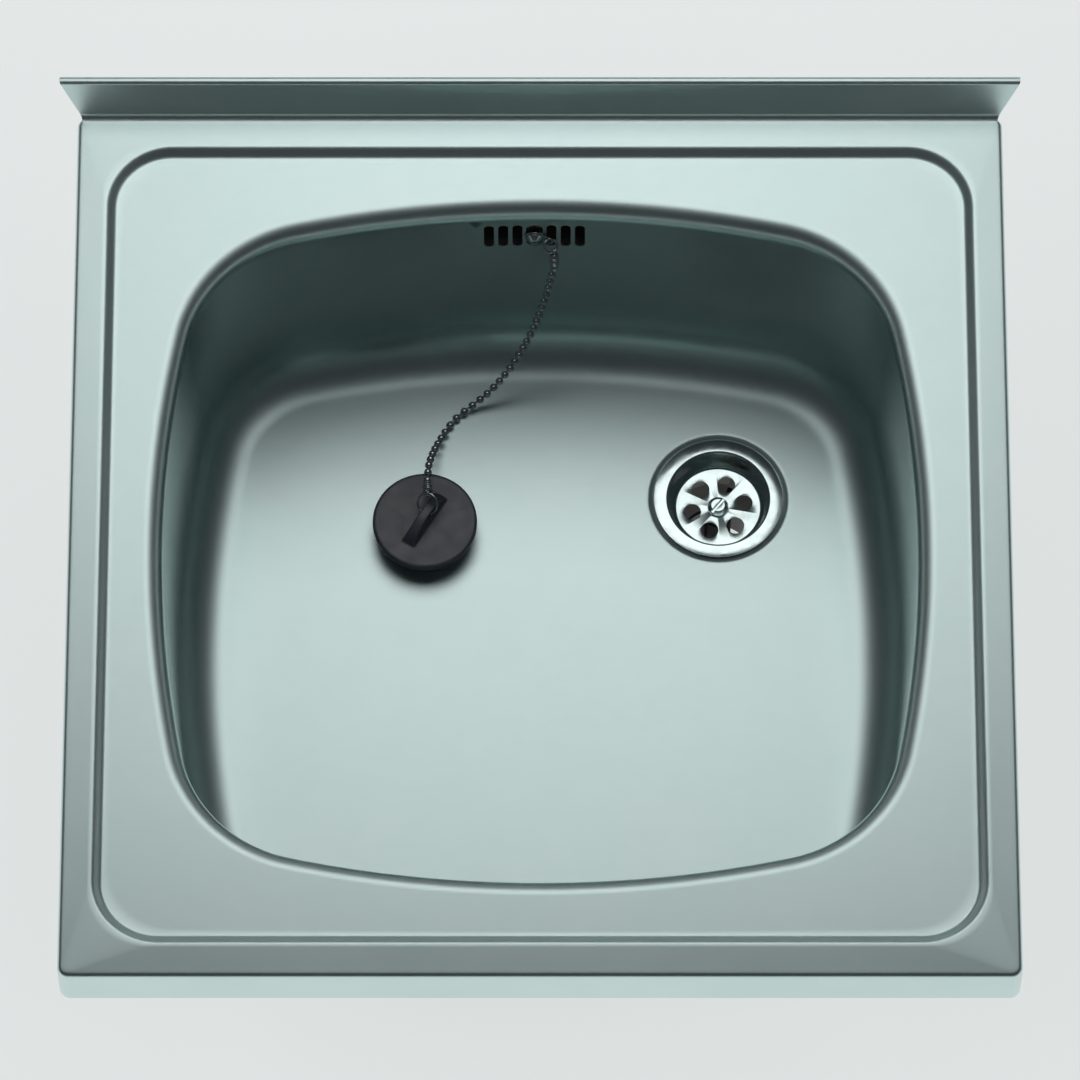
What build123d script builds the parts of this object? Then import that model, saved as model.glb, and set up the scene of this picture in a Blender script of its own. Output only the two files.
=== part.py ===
from build123d import *
import math
import os

# A lay-on kitchen sink in millimetres: +Z up, +Y towards the upstand, +X to the right.
# The origin is the middle of the seat: the plane on which the rim band rests on the cabinet's sides.

# The pressed sheet and its outline
SHEET = 0.8
DECK_SIDE = 500
CORNER_RADIUS = 6
EDGE_RADIUS = 2.5
APRON_DEPTH = 30
DECK_TOP = SHEET

# How far one form of a piece runs into the next, and how level an edge in a plane lies
JOIN = 1
LEVEL_TOLERANCE = 0.01

# The rim band and the step down to the inner deck
BAND_SIDE = 16
BAND_FRONT = 18
STEP_WIDTH = 6.5
STEP_DROP = 3
STEP_CORNER = 36
INNER_TOP = DECK_TOP - STEP_DROP

# The upstand along the rear edge, leaning back to a flange that stands against the wall
UPSTAND_HEIGHT = 24
UPSTAND_LEAN = 20
UPSTAND_FLARE = 9
UPSTAND_FOOT_RADIUS = 4.5
UPSTAND_TOP_RADIUS = 2.5
UPSTAND_REAR = 262.5
UPSTAND_FLANGE = 12
UPSTAND_FACE = DECK_SIDE / 2 - SHEET
UPSTAND_FOOT = UPSTAND_FOOT_RADIUS * math.tan(math.radians(90 - UPSTAND_LEAN) / 2)

# The bowl: a cushion of four shallow side arcs and four corner arcs, at its rolled rim
BOWL_HALF_X = 210
BOWL_HALF_Y = 203
BOWL_SIDE_RADIUS = 625
BOWL_CORNER_RADIUS = 85
BOWL_DEPTH = 150
BOWL_DRAFT = 2
ROLL_RADIUS = 10
FLOOR_RADIUS = 26
RIM_LAND = 0.5
FLOOR_TOP = INNER_TOP - BOWL_DEPTH

# The waste, right of the middle and towards the rear
WASTE_X = 98
WASTE_Y = 93
WASTE_HOLE_RADIUS = 30
RECESS_DEPTH = 1.6
RECESS_RADIUS = 35.6
RECESS_SLOPE = 3
RECESS_TOP = FLOOR_TOP - RECESS_DEPTH
RECESS_UNDER = RECESS_TOP - SHEET

# The strainer, its seal and its screw
FLANGE_RADIUS = 35.25
FLANGE_SEAL_HEIGHT = 1.0
FLANGE_SEAL_RADIUS = 34.5
FLANGE_SEAL_BORE = 30.3
CUP_MOUTH_RADIUS = 27.75
CUP_MOUTH_BEND = 1.6
CUP_PLATE_RADIUS = 24.2
CUP_PLATE_BEND = 2.0
CUP_DEPTH = 12
CUP_TOP = RECESS_TOP + FLANGE_SEAL_HEIGHT + SHEET
PLATE_TOP = CUP_TOP - CUP_DEPTH
PLATE_HOLES = 6
PLATE_HOLE_RADIUS = 4.9
PLATE_HOLE_CIRCLE = 14.5
PLATE_HOLE_TURN = 11
SCREW_RADIUS = 3
SCREW_LENGTH = 24
SCREW_HEAD_RADIUS = 5.7
SCREW_HEAD_TOP_RADIUS = 3.75
SCREW_HEAD_HEIGHT = 3.2
SCREW_HEAD_RIM = 1.2
SCREW_SLOT_WIDTH = 1.6
SCREW_SLOT_DEPTH = 1.5
SCREW_SLOT_TURN = 50
SCREW_CLEARANCE = 0.3

# The waste body under the bowl, with its outlet thread of one and a half inches
BODY_SEAL_HEIGHT = 3
BODY_SEAL_RADIUS = 38
BODY_SEAL_BORE = 30.5
BODY_TOP = RECESS_UNDER - BODY_SEAL_HEIGHT
BODY_FLANGE_RADIUS = 39
BODY_FLANGE_HEIGHT = 4
BODY_RADIUS = 33
BODY_BORE = 30
CHAMBER_HEIGHT = 43
BODY_SHOULDER = BODY_TOP - CHAMBER_HEIGHT
BODY_CONE = 12
BODY_FLOOR = 3
OUTLET_RADIUS = 23.9
OUTLET_BORE = 20.5
OUTLET_LENGTH = 20
OUTLET_TOP = BODY_SHOULDER - BODY_CONE
BODY_BOTTOM = OUTLET_TOP - OUTLET_LENGTH
BOSS_RADIUS = 7.5
BOSS_DROP = 9
BOSS_TOP = PLATE_TOP - SHEET - BOSS_DROP
BOSS_BOTTOM = BODY_SHOULDER - BODY_FLOOR
WEBS = 3
WEB_THICKNESS = 2.5
WEB_DROP = 8
WEB_TOP = BOSS_TOP - WEB_DROP
INSERT_RADIUS = 5
INSERT_LENGTH = 18

# The overflow in the rear wall
OVERFLOW_X = -3
OVERFLOW_Z = -28
SLOT_WIDTH = 5.4
SLOT_LENGTH = 23
SLOT_PITCH = 7.7
SLOT_FIRST = 9.2
SLOTS_PER_SIDE = 3
MIDDLE_SLOT_WIDTH = 9
WALL_Y = BOWL_HALF_Y - ROLL_RADIUS
REAR_WALL_TURN = 15
GASKET_THICKNESS = 3.5
GASKET_REAR = WALL_Y + GASKET_THICKNESS
GASKET_WIDTH = 70
GASKET_HEIGHT = 34
GASKET_RIM = 5
HOUSING_WIDTH = 72
HOUSING_HEIGHT = 36
HOUSING_WALL = 2.5
HOUSING_DEPTH = 30.5
HOUSING_REAR = GASKET_REAR + HOUSING_DEPTH
HOUSING_CORNER = 7
HOUSING_BOSS_RADIUS = 6.5
HOUSING_BOSS_SETBACK = 2
HOUSING_BOSS_FRONT = GASKET_REAR + HOUSING_BOSS_SETBACK
EYELET_THICKNESS = 0.8
EYELET_GAP = 0.9
EYELET_REAR = WALL_Y - EYELET_GAP
EYELET_FRONT = EYELET_REAR - EYELET_THICKNESS
EYELET_RADIUS = 5.5
EYELET_TAB_RADIUS = 2.9
EYELET_TAB_START = 5.2
EYELET_TAB_LENGTH = 3.2
EYELET_TAB_BEND = 30
EYELET_TAB_SLOPE = -9
EYELET_HOLE_RADIUS = 1.6
OVERFLOW_SCREW_RADIUS = 2.5
OVERFLOW_SCREW_LENGTH = 20
OVERFLOW_HEAD_RADIUS = 4.8
OVERFLOW_HEAD_RIM = 0.9
OVERFLOW_HEAD_HEIGHT = 3.4
OVERFLOW_SLOT_WIDTH = 1.2
OVERFLOW_SLOT_DEPTH = 1.3
OVERFLOW_SLOT_TURN = 15
OVERFLOW_INSERT_RADIUS = 4.2
OVERFLOW_INSERT_LENGTH = 14

# The overflow hose and its two unions
PORT_Z = -180
PORT_REACH = 47
PORT_RADIUS = 12.5
PORT_BORE = 8.5
SPIGOT_Y = 213
SPIGOT_BOTTOM = -64
CUFF_RADIUS = 10
CUFF_LENGTH = 23
CUFF_INSERTION = 8
SOCKET_CLEARANCE = 0.3
HOSE_BORE = 8
HOSE_BEND_RADIUS = 55
RIB_RADIUS = 11.5
VALLEY_RADIUS = 9.8
RIB_PITCH = 5
RIB_SHARES = (0.15, 0.35, 0.65, 0.85)
RIB_PROFILE = (VALLEY_RADIUS, RIB_RADIUS, RIB_RADIUS, VALLEY_RADIUS)
NUT_RADIUS = 16
NUT_OVERLAP = 8
NUT_LID = 2.5
NUT_GRIPS = 14
NUT_GRIP_RADIUS = 1.3
SEAL_LENGTH = 3
SEAL_CLEARANCE = 0.2

# The chain and what hangs on it
BALL_DIAMETER = 4.4
RING_WIRE_RADIUS = 0.6
ANCHOR_RING_RADIUS = 3.7
ANCHOR_RING_CENTRE = (5.7, 187.7, -31.1)
ANCHOR_RING_AXIS = (-0.29, 0.46, -0.84)
UPPER_EYE = (7.4, 185.1, -33.1)
PLUG_RING_RADIUS = 5.8
PLUG_RING_CENTRE = (-61.5, 78.9, -128.5)
PLUG_RING_AXIS = (-0.36, -0.57, 0.74)
LOWER_EYE = (-60.9, 83.3, -124.8)
EYE_RADIUS = 1.35
EYE_WIRE_RADIUS = 0.5
COUPLING_RADIUS = 2.8
COUPLING_END_RADIUS = 2.5
COUPLING_WAIST = 1.9
SWELL_SHARES = (0.06, 0.2, 0.38, 0.5, 0.62, 0.84)
ARC_SHARE = 0.45
CHAIN_ROUTE = [
    (8.0, 181.3, -42.0),
    (4.8, 177.0, -58.4),
    (1.2, 172.8, -76.0),
    (-3.8, 167.8, -93.6),
    (-10.4, 162.2, -110.8),
    (-18.8, 156.4, -126.6),
    (-28.2, 151.0, -139.2),
    (-37.4, 147.0, -147.0),
    (-45.6, 141.6, -149.9),
    (-51.0, 134.0, -149.2),
    (-54.6, 126.0, -145.8),
    (-57.4, 118.4, -140.8),
    (-59.4, 111.2, -135.8),
    (-60.8, 104.2, -131.3),
    (-61.5, 97.2, -128.6),
    (-61.6, 90.3, -127.0),
]

# The plug, standing on the bowl's floor left of the waste
PLUG_X = -63
PLUG_Y = 73
PLUG_HEIGHT = 15
PLUG_TOP = FLOOR_TOP + PLUG_HEIGHT
PLUG_RIM_RADIUS = 28.6
PLUG_RIM_HEIGHT = 5
PLUG_NECK_RADIUS = 26.6
PLUG_FOOT_RADIUS = 24.4
PLUG_EDGE_RADIUS = 1.6
PLUG_HOLLOW_RADIUS = 19
PLUG_HOLLOW_DEPTH = 5
LUG_LENGTH = 34
LUG_HEIGHT = 9
LUG_FOOT_THICKNESS = 7
LUG_TOP_THICKNESS = 5
LUG_TURN = 58
LUG_HOLE_RADIUS = 2.7
LUG_HOLE_HEIGHT = 5
LUG_HOLE_SHIFT = 1.8

# The brackets under the top and the pad under the bowl
BRACKET_THICKNESS = 1.5
BRACKET_WIDTH = 24
BRACKET_FACE_X = 231
BRACKET_ARM = 20
BRACKET_LEG = 26
BRACKET_Y = 170
BRACKET_HOLE_RADIUS = 2.25
BRACKET_HOLE_Z = -20
PAD_WIDTH = 190
PAD_LENGTH = 180
PAD_THICKNESS = 2
PAD_X = -52
PAD_Y = -42
PAD_CORNER = 20


def write(shape, node):
    """Writes one piece, or a group of like pieces, to its own STEP file."""
    solids = shape.solids()
    group = solids[0] if len(solids) == 1 else Compound(children=list(solids))
    export_step(group, f"parts/{node}.step")
    print(f"{node}: {len(solids)} solid(s), {sum(s.volume for s in solids):.0f} mm3")


def cushion(grow):
    """The bowl's outline, moved out by grow: shallow side arcs, joined by tangent corner arcs."""
    side = BOWL_SIDE_RADIUS + grow
    corner = BOWL_CORNER_RADIUS + grow
    side_x = BOWL_HALF_X - BOWL_SIDE_RADIUS
    rear_y = BOWL_HALF_Y - BOWL_SIDE_RADIUS
    apart = math.hypot(side_x, rear_y)
    rise = math.sqrt((side - corner) ** 2 - (apart / 2) ** 2)
    corner_x = side_x / 2 - rear_y / apart * rise
    corner_y = rear_y / 2 - side_x / apart * rise
    leave = math.degrees(math.atan2(corner_y, corner_x - side_x))
    join = math.degrees(math.atan2(corner_y - rear_y, corner_x))
    quarter = [
        CenterArc((side_x, 0), side, 0, leave),
        CenterArc((corner_x, corner_y), corner, leave, join - leave),
        CenterArc((0, rear_y), side, join, 90 - join),
    ]
    rear_half = quarter + [arc.mirror(Plane.YZ) for arc in reversed(quarter)]
    front_half = [arc.mirror(Plane.XZ) for arc in reversed(rear_half)]
    return Wire(rear_half + front_half)


def wall_curve(offset):
    """The bowl's wall in section, from the rolled rim to the floor, at an offset into the sheet."""
    draft = math.radians(BOWL_DRAFT)
    roll = ROLL_RADIUS - offset
    floor = FLOOR_RADIUS + offset
    roll_z = INNER_TOP - ROLL_RADIUS
    floor_z = FLOOR_TOP + FLOOR_RADIUS
    drop = roll_z - floor_z + (ROLL_RADIUS + FLOOR_RADIUS) * math.sin(draft)
    floor_x = -(ROLL_RADIUS + FLOOR_RADIUS) * math.cos(draft) - drop * math.tan(draft)
    across = (math.cos(draft), math.sin(draft))
    half_turn = math.radians(90 - BOWL_DRAFT) / 2
    roll_middle = (-roll * math.sin(half_turn), roll_z + roll * math.cos(half_turn))
    floor_middle = (floor_x + floor * math.sin(half_turn), floor_z - floor * math.cos(half_turn))
    wall_top = (-roll * across[0], roll_z + roll * across[1])
    wall_foot = (floor_x + floor * across[0], floor_z - floor * across[1])
    return [
        ThreePointArc((0, roll_z + roll), roll_middle, wall_top),
        Line(wall_top, wall_foot),
        ThreePointArc(wall_foot, floor_middle, (floor_x, floor_z - floor)),
    ]


def bowl_wall():
    """The wall of the bowl: its section, carried round the outline."""
    inside = wall_curve(0)
    outside = wall_curve(SHEET)
    land = [
        Line(inside[0] @ 0, (RIM_LAND, INNER_TOP)),
        Line((RIM_LAND, INNER_TOP), (RIM_LAND, INNER_TOP - SHEET)),
        Line((RIM_LAND, INNER_TOP - SHEET), outside[0] @ 0),
    ]
    foot = Line(inside[2] @ 1, outside[2] @ 1)
    section = make_face(inside + land + outside + [foot])
    place = Plane(origin=(BOWL_HALF_X, 0, 0), x_dir=(1, 0, 0), z_dir=(0, -1, 0))
    return sweep(place * section, path=cushion(0))


def edges_at(shape, z):
    """The edges of a shape that lie in the level plane at z."""
    found = ShapeList()
    for edge in shape.edges():
        box = edge.bounding_box()
        if max(abs(box.min.Z - z), abs(box.max.Z - z)) < LEVEL_TOLERANCE:
            found.append(edge)
    return found


def recess(radius, top, bottom):
    """The shallow dished seat round the waste hole."""
    upper = Pos(WASTE_X, WASTE_Y, top) * Circle(radius + RECESS_SLOPE)
    lower = Pos(WASTE_X, WASTE_Y, bottom) * Circle(radius)
    return loft([upper, lower], ruled=True)


def overflow_slots():
    """Six upright slots through the rear wall, three each side of the wider one for the screw."""
    cuts = [(0, MIDDLE_SLOT_WIDTH)]
    for side in (-1, 1):
        for i in range(SLOTS_PER_SIDE):
            cuts.append((side * (SLOT_FIRST + i * SLOT_PITCH), SLOT_WIDTH))
    slots = []
    for x, width in cuts:
        centre = (OVERFLOW_X + x, WALL_Y, OVERFLOW_Z)
        place = Plane(origin=centre, x_dir=(0, 0, 1), z_dir=(0, 1, 0))
        slots.append(extrude(place * SlotOverall(SLOT_LENGTH, width), amount=ROLL_RADIUS, both=True))
    return slots


def sink_bowl():
    """The deep-drawn bowl, with its dished waste seat, waste hole and overflow slots."""
    floor_edge = wall_curve(0)[2] @ 1
    floor = extrude(Pos(0, 0, FLOOR_TOP) * make_face(cushion(floor_edge.X)), amount=-SHEET)
    dish = recess(RECESS_RADIUS, FLOOR_TOP, RECESS_TOP)
    seat = recess(RECESS_RADIUS + SHEET, FLOOR_TOP - SHEET, RECESS_UNDER) - dish
    floor = floor - dish + seat
    floor -= Pos(WASTE_X, WASTE_Y, FLOOR_TOP) * Cylinder(WASTE_HOLE_RADIUS, 4 * (RECESS_DEPTH + SHEET))
    bowl = bowl_wall() + floor
    for slot in overflow_slots():
        bowl -= slot
    return bowl


def step_pocket(lower_by):
    """The pocket that drops the inner deck below the rim band, with its sloping sides."""
    width = DECK_SIDE - 2 * BAND_SIDE
    length = DECK_SIDE - 2 * BAND_FRONT
    top = Pos(0, 0, DECK_TOP - lower_by) * RectangleRounded(width, length, STEP_CORNER)
    inner_width = width - 2 * STEP_WIDTH
    inner_length = length - 2 * STEP_WIDTH
    inner_corner = STEP_CORNER - STEP_WIDTH
    bottom = Pos(0, 0, INNER_TOP - lower_by) * RectangleRounded(inner_width, inner_length, inner_corner)
    return loft([top, bottom], ruled=True)


def deck_tray():
    """The top with its turned-down edges, open below and trimmed where the upstand joins it."""
    outline = RectangleRounded(DECK_SIDE, DECK_SIDE, CORNER_RADIUS)
    skin = extrude(Pos(0, 0, DECK_TOP - APRON_DEPTH) * outline, amount=APRON_DEPTH)
    skin = fillet(edges_at(skin, DECK_TOP), EDGE_RADIUS)
    inner_side = DECK_SIDE - 2 * SHEET
    inner_outline = RectangleRounded(inner_side, inner_side, CORNER_RADIUS - SHEET)
    space = extrude(Pos(0, 0, -APRON_DEPTH) * inner_outline, amount=APRON_DEPTH)
    space = fillet(edges_at(space, 0), EDGE_RADIUS - SHEET)
    rear = Box(DECK_SIDE - CORNER_RADIUS, 4 * CORNER_RADIUS, 4 * APRON_DEPTH)
    rear = Pos(0, UPSTAND_FACE - UPSTAND_FOOT + 2 * CORNER_RADIUS, 0) * rear
    return skin - space - rear


def upstand():
    """The upstand: a hollow foot curve, a leaning face, and a lip turned back and down again."""
    top = DECK_TOP + UPSTAND_HEIGHT
    line = FilletPolyline(
        (UPSTAND_FACE - 2 * UPSTAND_FOOT_RADIUS, DECK_TOP),
        (UPSTAND_FACE, DECK_TOP),
        (UPSTAND_FACE + UPSTAND_HEIGHT * math.tan(math.radians(UPSTAND_LEAN)), top),
        (UPSTAND_REAR, top),
        (UPSTAND_REAR, top - UPSTAND_FLANGE),
        radius=[UPSTAND_FOOT_RADIUS, UPSTAND_TOP_RADIUS, UPSTAND_TOP_RADIUS],
        close=False,
    )
    section = make_face(offset(line, amount=SHEET, side=Side.RIGHT))
    side_view = Plane(origin=(0, 0, 0), x_dir=(0, 1, 0), z_dir=(1, 0, 0))
    strip = extrude(side_view * section, amount=DECK_SIDE / 2 + UPSTAND_FLARE, both=True)
    foot_half = (DECK_SIDE - CORNER_RADIUS) / 2
    top_half = DECK_SIDE / 2 + UPSTAND_FLARE
    ends = Polyline((-foot_half, 0), (-top_half, top), (top_half, top), (foot_half, 0), close=True)
    front_view = Plane(origin=(0, UPSTAND_FACE, 0), x_dir=(1, 0, 0), z_dir=(0, -1, 0))
    return strip & extrude(front_view * make_face(ends), amount=4 * UPSTAND_FOOT_RADIUS, both=True)


def sink_top():
    """The pressed top: tray, step down to the inner deck, upstand and the opening for the bowl."""
    step = step_pocket(SHEET) - step_pocket(0)
    opening = extrude(Pos(0, 0, DECK_TOP) * make_face(cushion(RIM_LAND)), amount=-APRON_DEPTH)
    return deck_tray() - step_pocket(0) + step + upstand() - opening


def turned(*points):
    """A solid turned about the Z axis from its section's corners, each (radius, height)."""
    return revolve(Plane.XZ * make_face(Polyline(*points, close=True)), Axis.Z)


def ring(outer, inner, top, height):
    """A flat ring about the Z axis, below top."""
    return turned((inner, top), (outer, top), (outer, top - height), (inner, top - height))


def at_waste(shape):
    """Moves a shape made about the Z axis to the waste's own axis."""
    return Pos(WASTE_X, WASTE_Y, 0) * shape


def slotted_head(radius, rim, top_radius, height, shank_radius, shank_length):
    """A screw with a bevelled head above the origin and its shank below, without its slot."""
    return turned(
        (0, height),
        (top_radius, height),
        (radius, rim),
        (radius, 0),
        (shank_radius, 0),
        (shank_radius, -shank_length),
        (0, -shank_length),
    )


def strainer_cup():
    """The pressed strainer: flange, tapered cup and a plate with six holes round the screw's."""
    bore = SCREW_RADIUS + SCREW_CLEARANCE
    line = FilletPolyline(
        (FLANGE_RADIUS, CUP_TOP),
        (CUP_MOUTH_RADIUS, CUP_TOP),
        (CUP_PLATE_RADIUS, PLATE_TOP),
        (bore, PLATE_TOP),
        radius=[CUP_MOUTH_BEND, CUP_PLATE_BEND],
        close=False,
    )
    section = make_face(offset(line, amount=SHEET, side=Side.LEFT))
    cup = revolve(Plane.XZ * section, Axis.Z)
    for i in range(PLATE_HOLES):
        turn = math.radians(PLATE_HOLE_TURN + i * 360 / PLATE_HOLES)
        x = PLATE_HOLE_CIRCLE * math.cos(turn)
        y = PLATE_HOLE_CIRCLE * math.sin(turn)
        cup -= Pos(x, y, PLATE_TOP) * Cylinder(PLATE_HOLE_RADIUS, 4 * SHEET)
    return at_waste(cup)


def strainer_screw():
    """The slotted screw through the strainer's plate into the insert of the waste body."""
    screw = slotted_head(
        SCREW_HEAD_RADIUS,
        SCREW_HEAD_RIM,
        SCREW_HEAD_TOP_RADIUS,
        SCREW_HEAD_HEIGHT,
        SCREW_RADIUS,
        SCREW_LENGTH,
    )
    slot = Box(3 * SCREW_HEAD_RADIUS, SCREW_SLOT_WIDTH, 2 * SCREW_SLOT_DEPTH)
    screw -= Pos(0, 0, SCREW_HEAD_HEIGHT) * Rot(0, 0, SCREW_SLOT_TURN) * slot
    return at_waste(Pos(0, 0, PLATE_TOP) * screw)


def flange_seal():
    """The thin ring that seals the strainer's flange to the bowl."""
    top = RECESS_TOP + FLANGE_SEAL_HEIGHT
    return at_waste(ring(FLANGE_SEAL_RADIUS, FLANGE_SEAL_BORE, top, FLANGE_SEAL_HEIGHT))


def body_seal():
    """The thick ring between the bowl's underside and the waste body."""
    seal = ring(BODY_SEAL_RADIUS, BODY_SEAL_BORE, RECESS_UNDER, BODY_SEAL_HEIGHT)
    rounded = edges_at(seal, RECESS_UNDER) + edges_at(seal, BODY_TOP)
    return at_waste(fillet(rounded, BODY_SEAL_HEIGHT / 4))


def along_hose(radial, height):
    """A point in the hose's upright plane: radial from the waste's axis, at a height."""
    across = math.hypot(OVERFLOW_X - WASTE_X, SPIGOT_Y - WASTE_Y)
    x = WASTE_X + (OVERFLOW_X - WASTE_X) * radial / across
    y = WASTE_Y + (SPIGOT_Y - WASTE_Y) * radial / across
    return Vector(x, y, height)


def port_place(radial):
    """The plane across the waste body's port, looking outwards, at a distance from the axis."""
    outward = along_hose(1, PORT_Z) - along_hose(0, PORT_Z)
    return Plane(origin=along_hose(radial, PORT_Z), x_dir=(0, 0, 1), z_dir=outward)


def spigot_place(height):
    """The plane across the housing's spigot, looking down, at a height."""
    return Plane(origin=(OVERFLOW_X, SPIGOT_Y, height), x_dir=(1, 0, 0), z_dir=(0, 0, -1))


def waste_body():
    """The waste body: flange, chamber, webbed boss for the insert, overflow port and outlet."""
    floor = BODY_SHOULDER + BODY_FLOOR
    shell = turned(
        (BODY_BORE, BODY_TOP),
        (BODY_FLANGE_RADIUS, BODY_TOP),
        (BODY_FLANGE_RADIUS, BODY_TOP - BODY_FLANGE_HEIGHT),
        (BODY_RADIUS, BODY_TOP - BODY_FLANGE_HEIGHT),
        (BODY_RADIUS, BODY_SHOULDER),
        (OUTLET_RADIUS, OUTLET_TOP),
        (OUTLET_RADIUS, BODY_BOTTOM),
        (OUTLET_BORE, BODY_BOTTOM),
        (OUTLET_BORE, OUTLET_TOP),
        (BODY_BORE, floor),
    )
    boss = ring(BOSS_RADIUS, INSERT_RADIUS, BOSS_TOP, BOSS_TOP - BOSS_BOTTOM)
    boss += Pos(0, 0, BOSS_BOTTOM + BODY_FLOOR / 2) * Cylinder(BOSS_RADIUS, BODY_FLOOR)
    web_reach = BODY_BORE - BOSS_RADIUS + 2 * JOIN
    web_height = WEB_TOP - BOSS_BOTTOM
    web_place = Pos(BOSS_RADIUS - JOIN + web_reach / 2, 0, WEB_TOP - web_height / 2)
    web = web_place * Box(web_reach, WEB_THICKNESS, web_height)
    port_turn = math.degrees(math.atan2(SPIGOT_Y - WASTE_Y, OVERFLOW_X - WASTE_X))
    webs = [Rot(0, 0, port_turn + (i + 0.5) * 360 / WEBS) * web for i in range(WEBS)]
    body = at_waste(shell + boss + webs)
    inner_reach = BODY_RADIUS - 2 * JOIN
    port_length = PORT_REACH - inner_reach
    body += extrude(port_place(inner_reach) * Circle(PORT_RADIUS), amount=port_length)
    body -= extrude(port_place(BOSS_RADIUS + 2 * JOIN) * Circle(PORT_BORE), amount=PORT_REACH)
    socket_start = PORT_REACH - CUFF_INSERTION - SOCKET_CLEARANCE
    socket = Circle(CUFF_RADIUS + SOCKET_CLEARANCE)
    return body - extrude(port_place(socket_start) * socket, amount=2 * CUFF_INSERTION)


def waste_insert():
    """The threaded brass insert in the boss of the waste body."""
    return at_waste(ring(INSERT_RADIUS, SCREW_RADIUS, BOSS_TOP, INSERT_LENGTH))


def facing_front(y):
    """The upright plane at a depth, centred on the overflow's screw and looking forwards."""
    return Plane(origin=(OVERFLOW_X, y, OVERFLOW_Z), x_dir=(1, 0, 0), z_dir=(0, -1, 0))


def overflow_section(width, height, corner):
    """A rounded rectangle round the overflow, seen from the front, as a face in the XZ plane."""
    return facing_front(0) * RectangleRounded(width, height, corner)


def between(face, front, rear):
    """Extrudes a face of the XZ plane from the front Y to the rear Y."""
    return Pos(0, rear, 0) * extrude(face, amount=rear - front)


def rear_wall_mass():
    """What lies inside the rear wall's outer face, over the width of the overflow."""
    outside = wall_curve(SHEET)
    foot = outside[2] @ 1
    head = outside[0] @ 0
    inward = 2 * (ROLL_RADIUS + FLOOR_RADIUS)
    back = Polyline(foot, (-inward, foot.Y), (-inward, head.Y), head)
    section = make_face(outside + [back])
    place = Plane(origin=(0, BOWL_HALF_Y, 0), x_dir=(0, 1, 0), z_dir=(1, 0, 0))
    axis = Axis((0, BOWL_HALF_Y - BOWL_SIDE_RADIUS, 0), (0, 0, 1))
    mass = revolve(place * section, axis, REAR_WALL_TURN)
    return mass.rotate(axis, -REAR_WALL_TURN / 2)


def overflow_gasket():
    """The rubber frame that fits the wall's curve in front and the flat housing behind."""
    outer = overflow_section(GASKET_WIDTH, GASKET_HEIGHT, HOUSING_CORNER)
    window_width = GASKET_WIDTH - 2 * GASKET_RIM
    window_height = GASKET_HEIGHT - 2 * GASKET_RIM
    window = overflow_section(window_width, window_height, HOUSING_CORNER - GASKET_RIM)
    front = WALL_Y - ROLL_RADIUS
    block = between(outer, front, GASKET_REAR) - between(window, front, GASKET_REAR)
    return block - rear_wall_mass()


def overflow_housing():
    """The housing behind the overflow: a box with a boss for the screw and a spigot below."""
    outline = overflow_section(HOUSING_WIDTH, HOUSING_HEIGHT, HOUSING_CORNER)
    outer = between(outline, GASKET_REAR, HOUSING_REAR)
    rear_edges = outer.faces().sort_by(Axis.Y)[-1].edges()
    outer = fillet(rear_edges, HOUSING_WALL)
    room_width = HOUSING_WIDTH - 2 * HOUSING_WALL
    room_height = HOUSING_HEIGHT - 2 * HOUSING_WALL
    room = overflow_section(room_width, room_height, HOUSING_CORNER - HOUSING_WALL)
    housing = outer - between(room, GASKET_REAR, HOUSING_REAR - HOUSING_WALL)
    boss_end = HOUSING_REAR - JOIN
    boss = facing_front(boss_end) * Circle(HOUSING_BOSS_RADIUS)
    housing += extrude(boss, amount=boss_end - HOUSING_BOSS_FRONT)
    insert_end = HOUSING_BOSS_FRONT + OVERFLOW_INSERT_LENGTH
    insert = facing_front(insert_end) * Circle(OVERFLOW_INSERT_RADIUS)
    housing -= extrude(insert, amount=2 * OVERFLOW_INSERT_LENGTH)
    floor = OVERFLOW_Z - HOUSING_HEIGHT / 2
    start = floor + HOUSING_WALL / 2
    housing += extrude(spigot_place(start) * Circle(PORT_RADIUS), amount=start - SPIGOT_BOTTOM)
    bore = extrude(spigot_place(floor + 2 * HOUSING_WALL) * Circle(PORT_BORE), amount=HOUSING_HEIGHT)
    socket_start = SPIGOT_BOTTOM + CUFF_INSERTION + SOCKET_CLEARANCE
    socket = Circle(CUFF_RADIUS + SOCKET_CLEARANCE)
    return housing - bore - extrude(spigot_place(socket_start) * socket, amount=2 * CUFF_INSERTION)


def overflow_insert():
    """The threaded brass insert in the housing's boss."""
    face = Circle(OVERFLOW_INSERT_RADIUS) - Circle(OVERFLOW_SCREW_RADIUS)
    rear = HOUSING_BOSS_FRONT + OVERFLOW_INSERT_LENGTH
    return extrude(facing_front(rear) * face, amount=OVERFLOW_INSERT_LENGTH)


def overflow_screw():
    """The slotted screw that holds the housing and the chain's eyelet to the rear wall."""
    screw = slotted_head(
        OVERFLOW_HEAD_RADIUS,
        OVERFLOW_HEAD_RIM,
        OVERFLOW_HEAD_RADIUS / 2,
        OVERFLOW_HEAD_HEIGHT,
        OVERFLOW_SCREW_RADIUS,
        OVERFLOW_SCREW_LENGTH,
    )
    slot = Box(3 * OVERFLOW_HEAD_RADIUS, OVERFLOW_SLOT_WIDTH, 2 * OVERFLOW_SLOT_DEPTH)
    screw -= Pos(0, 0, OVERFLOW_HEAD_HEIGHT) * Rot(0, 0, OVERFLOW_SLOT_TURN) * slot
    return facing_front(EYELET_FRONT).location * screw


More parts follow.
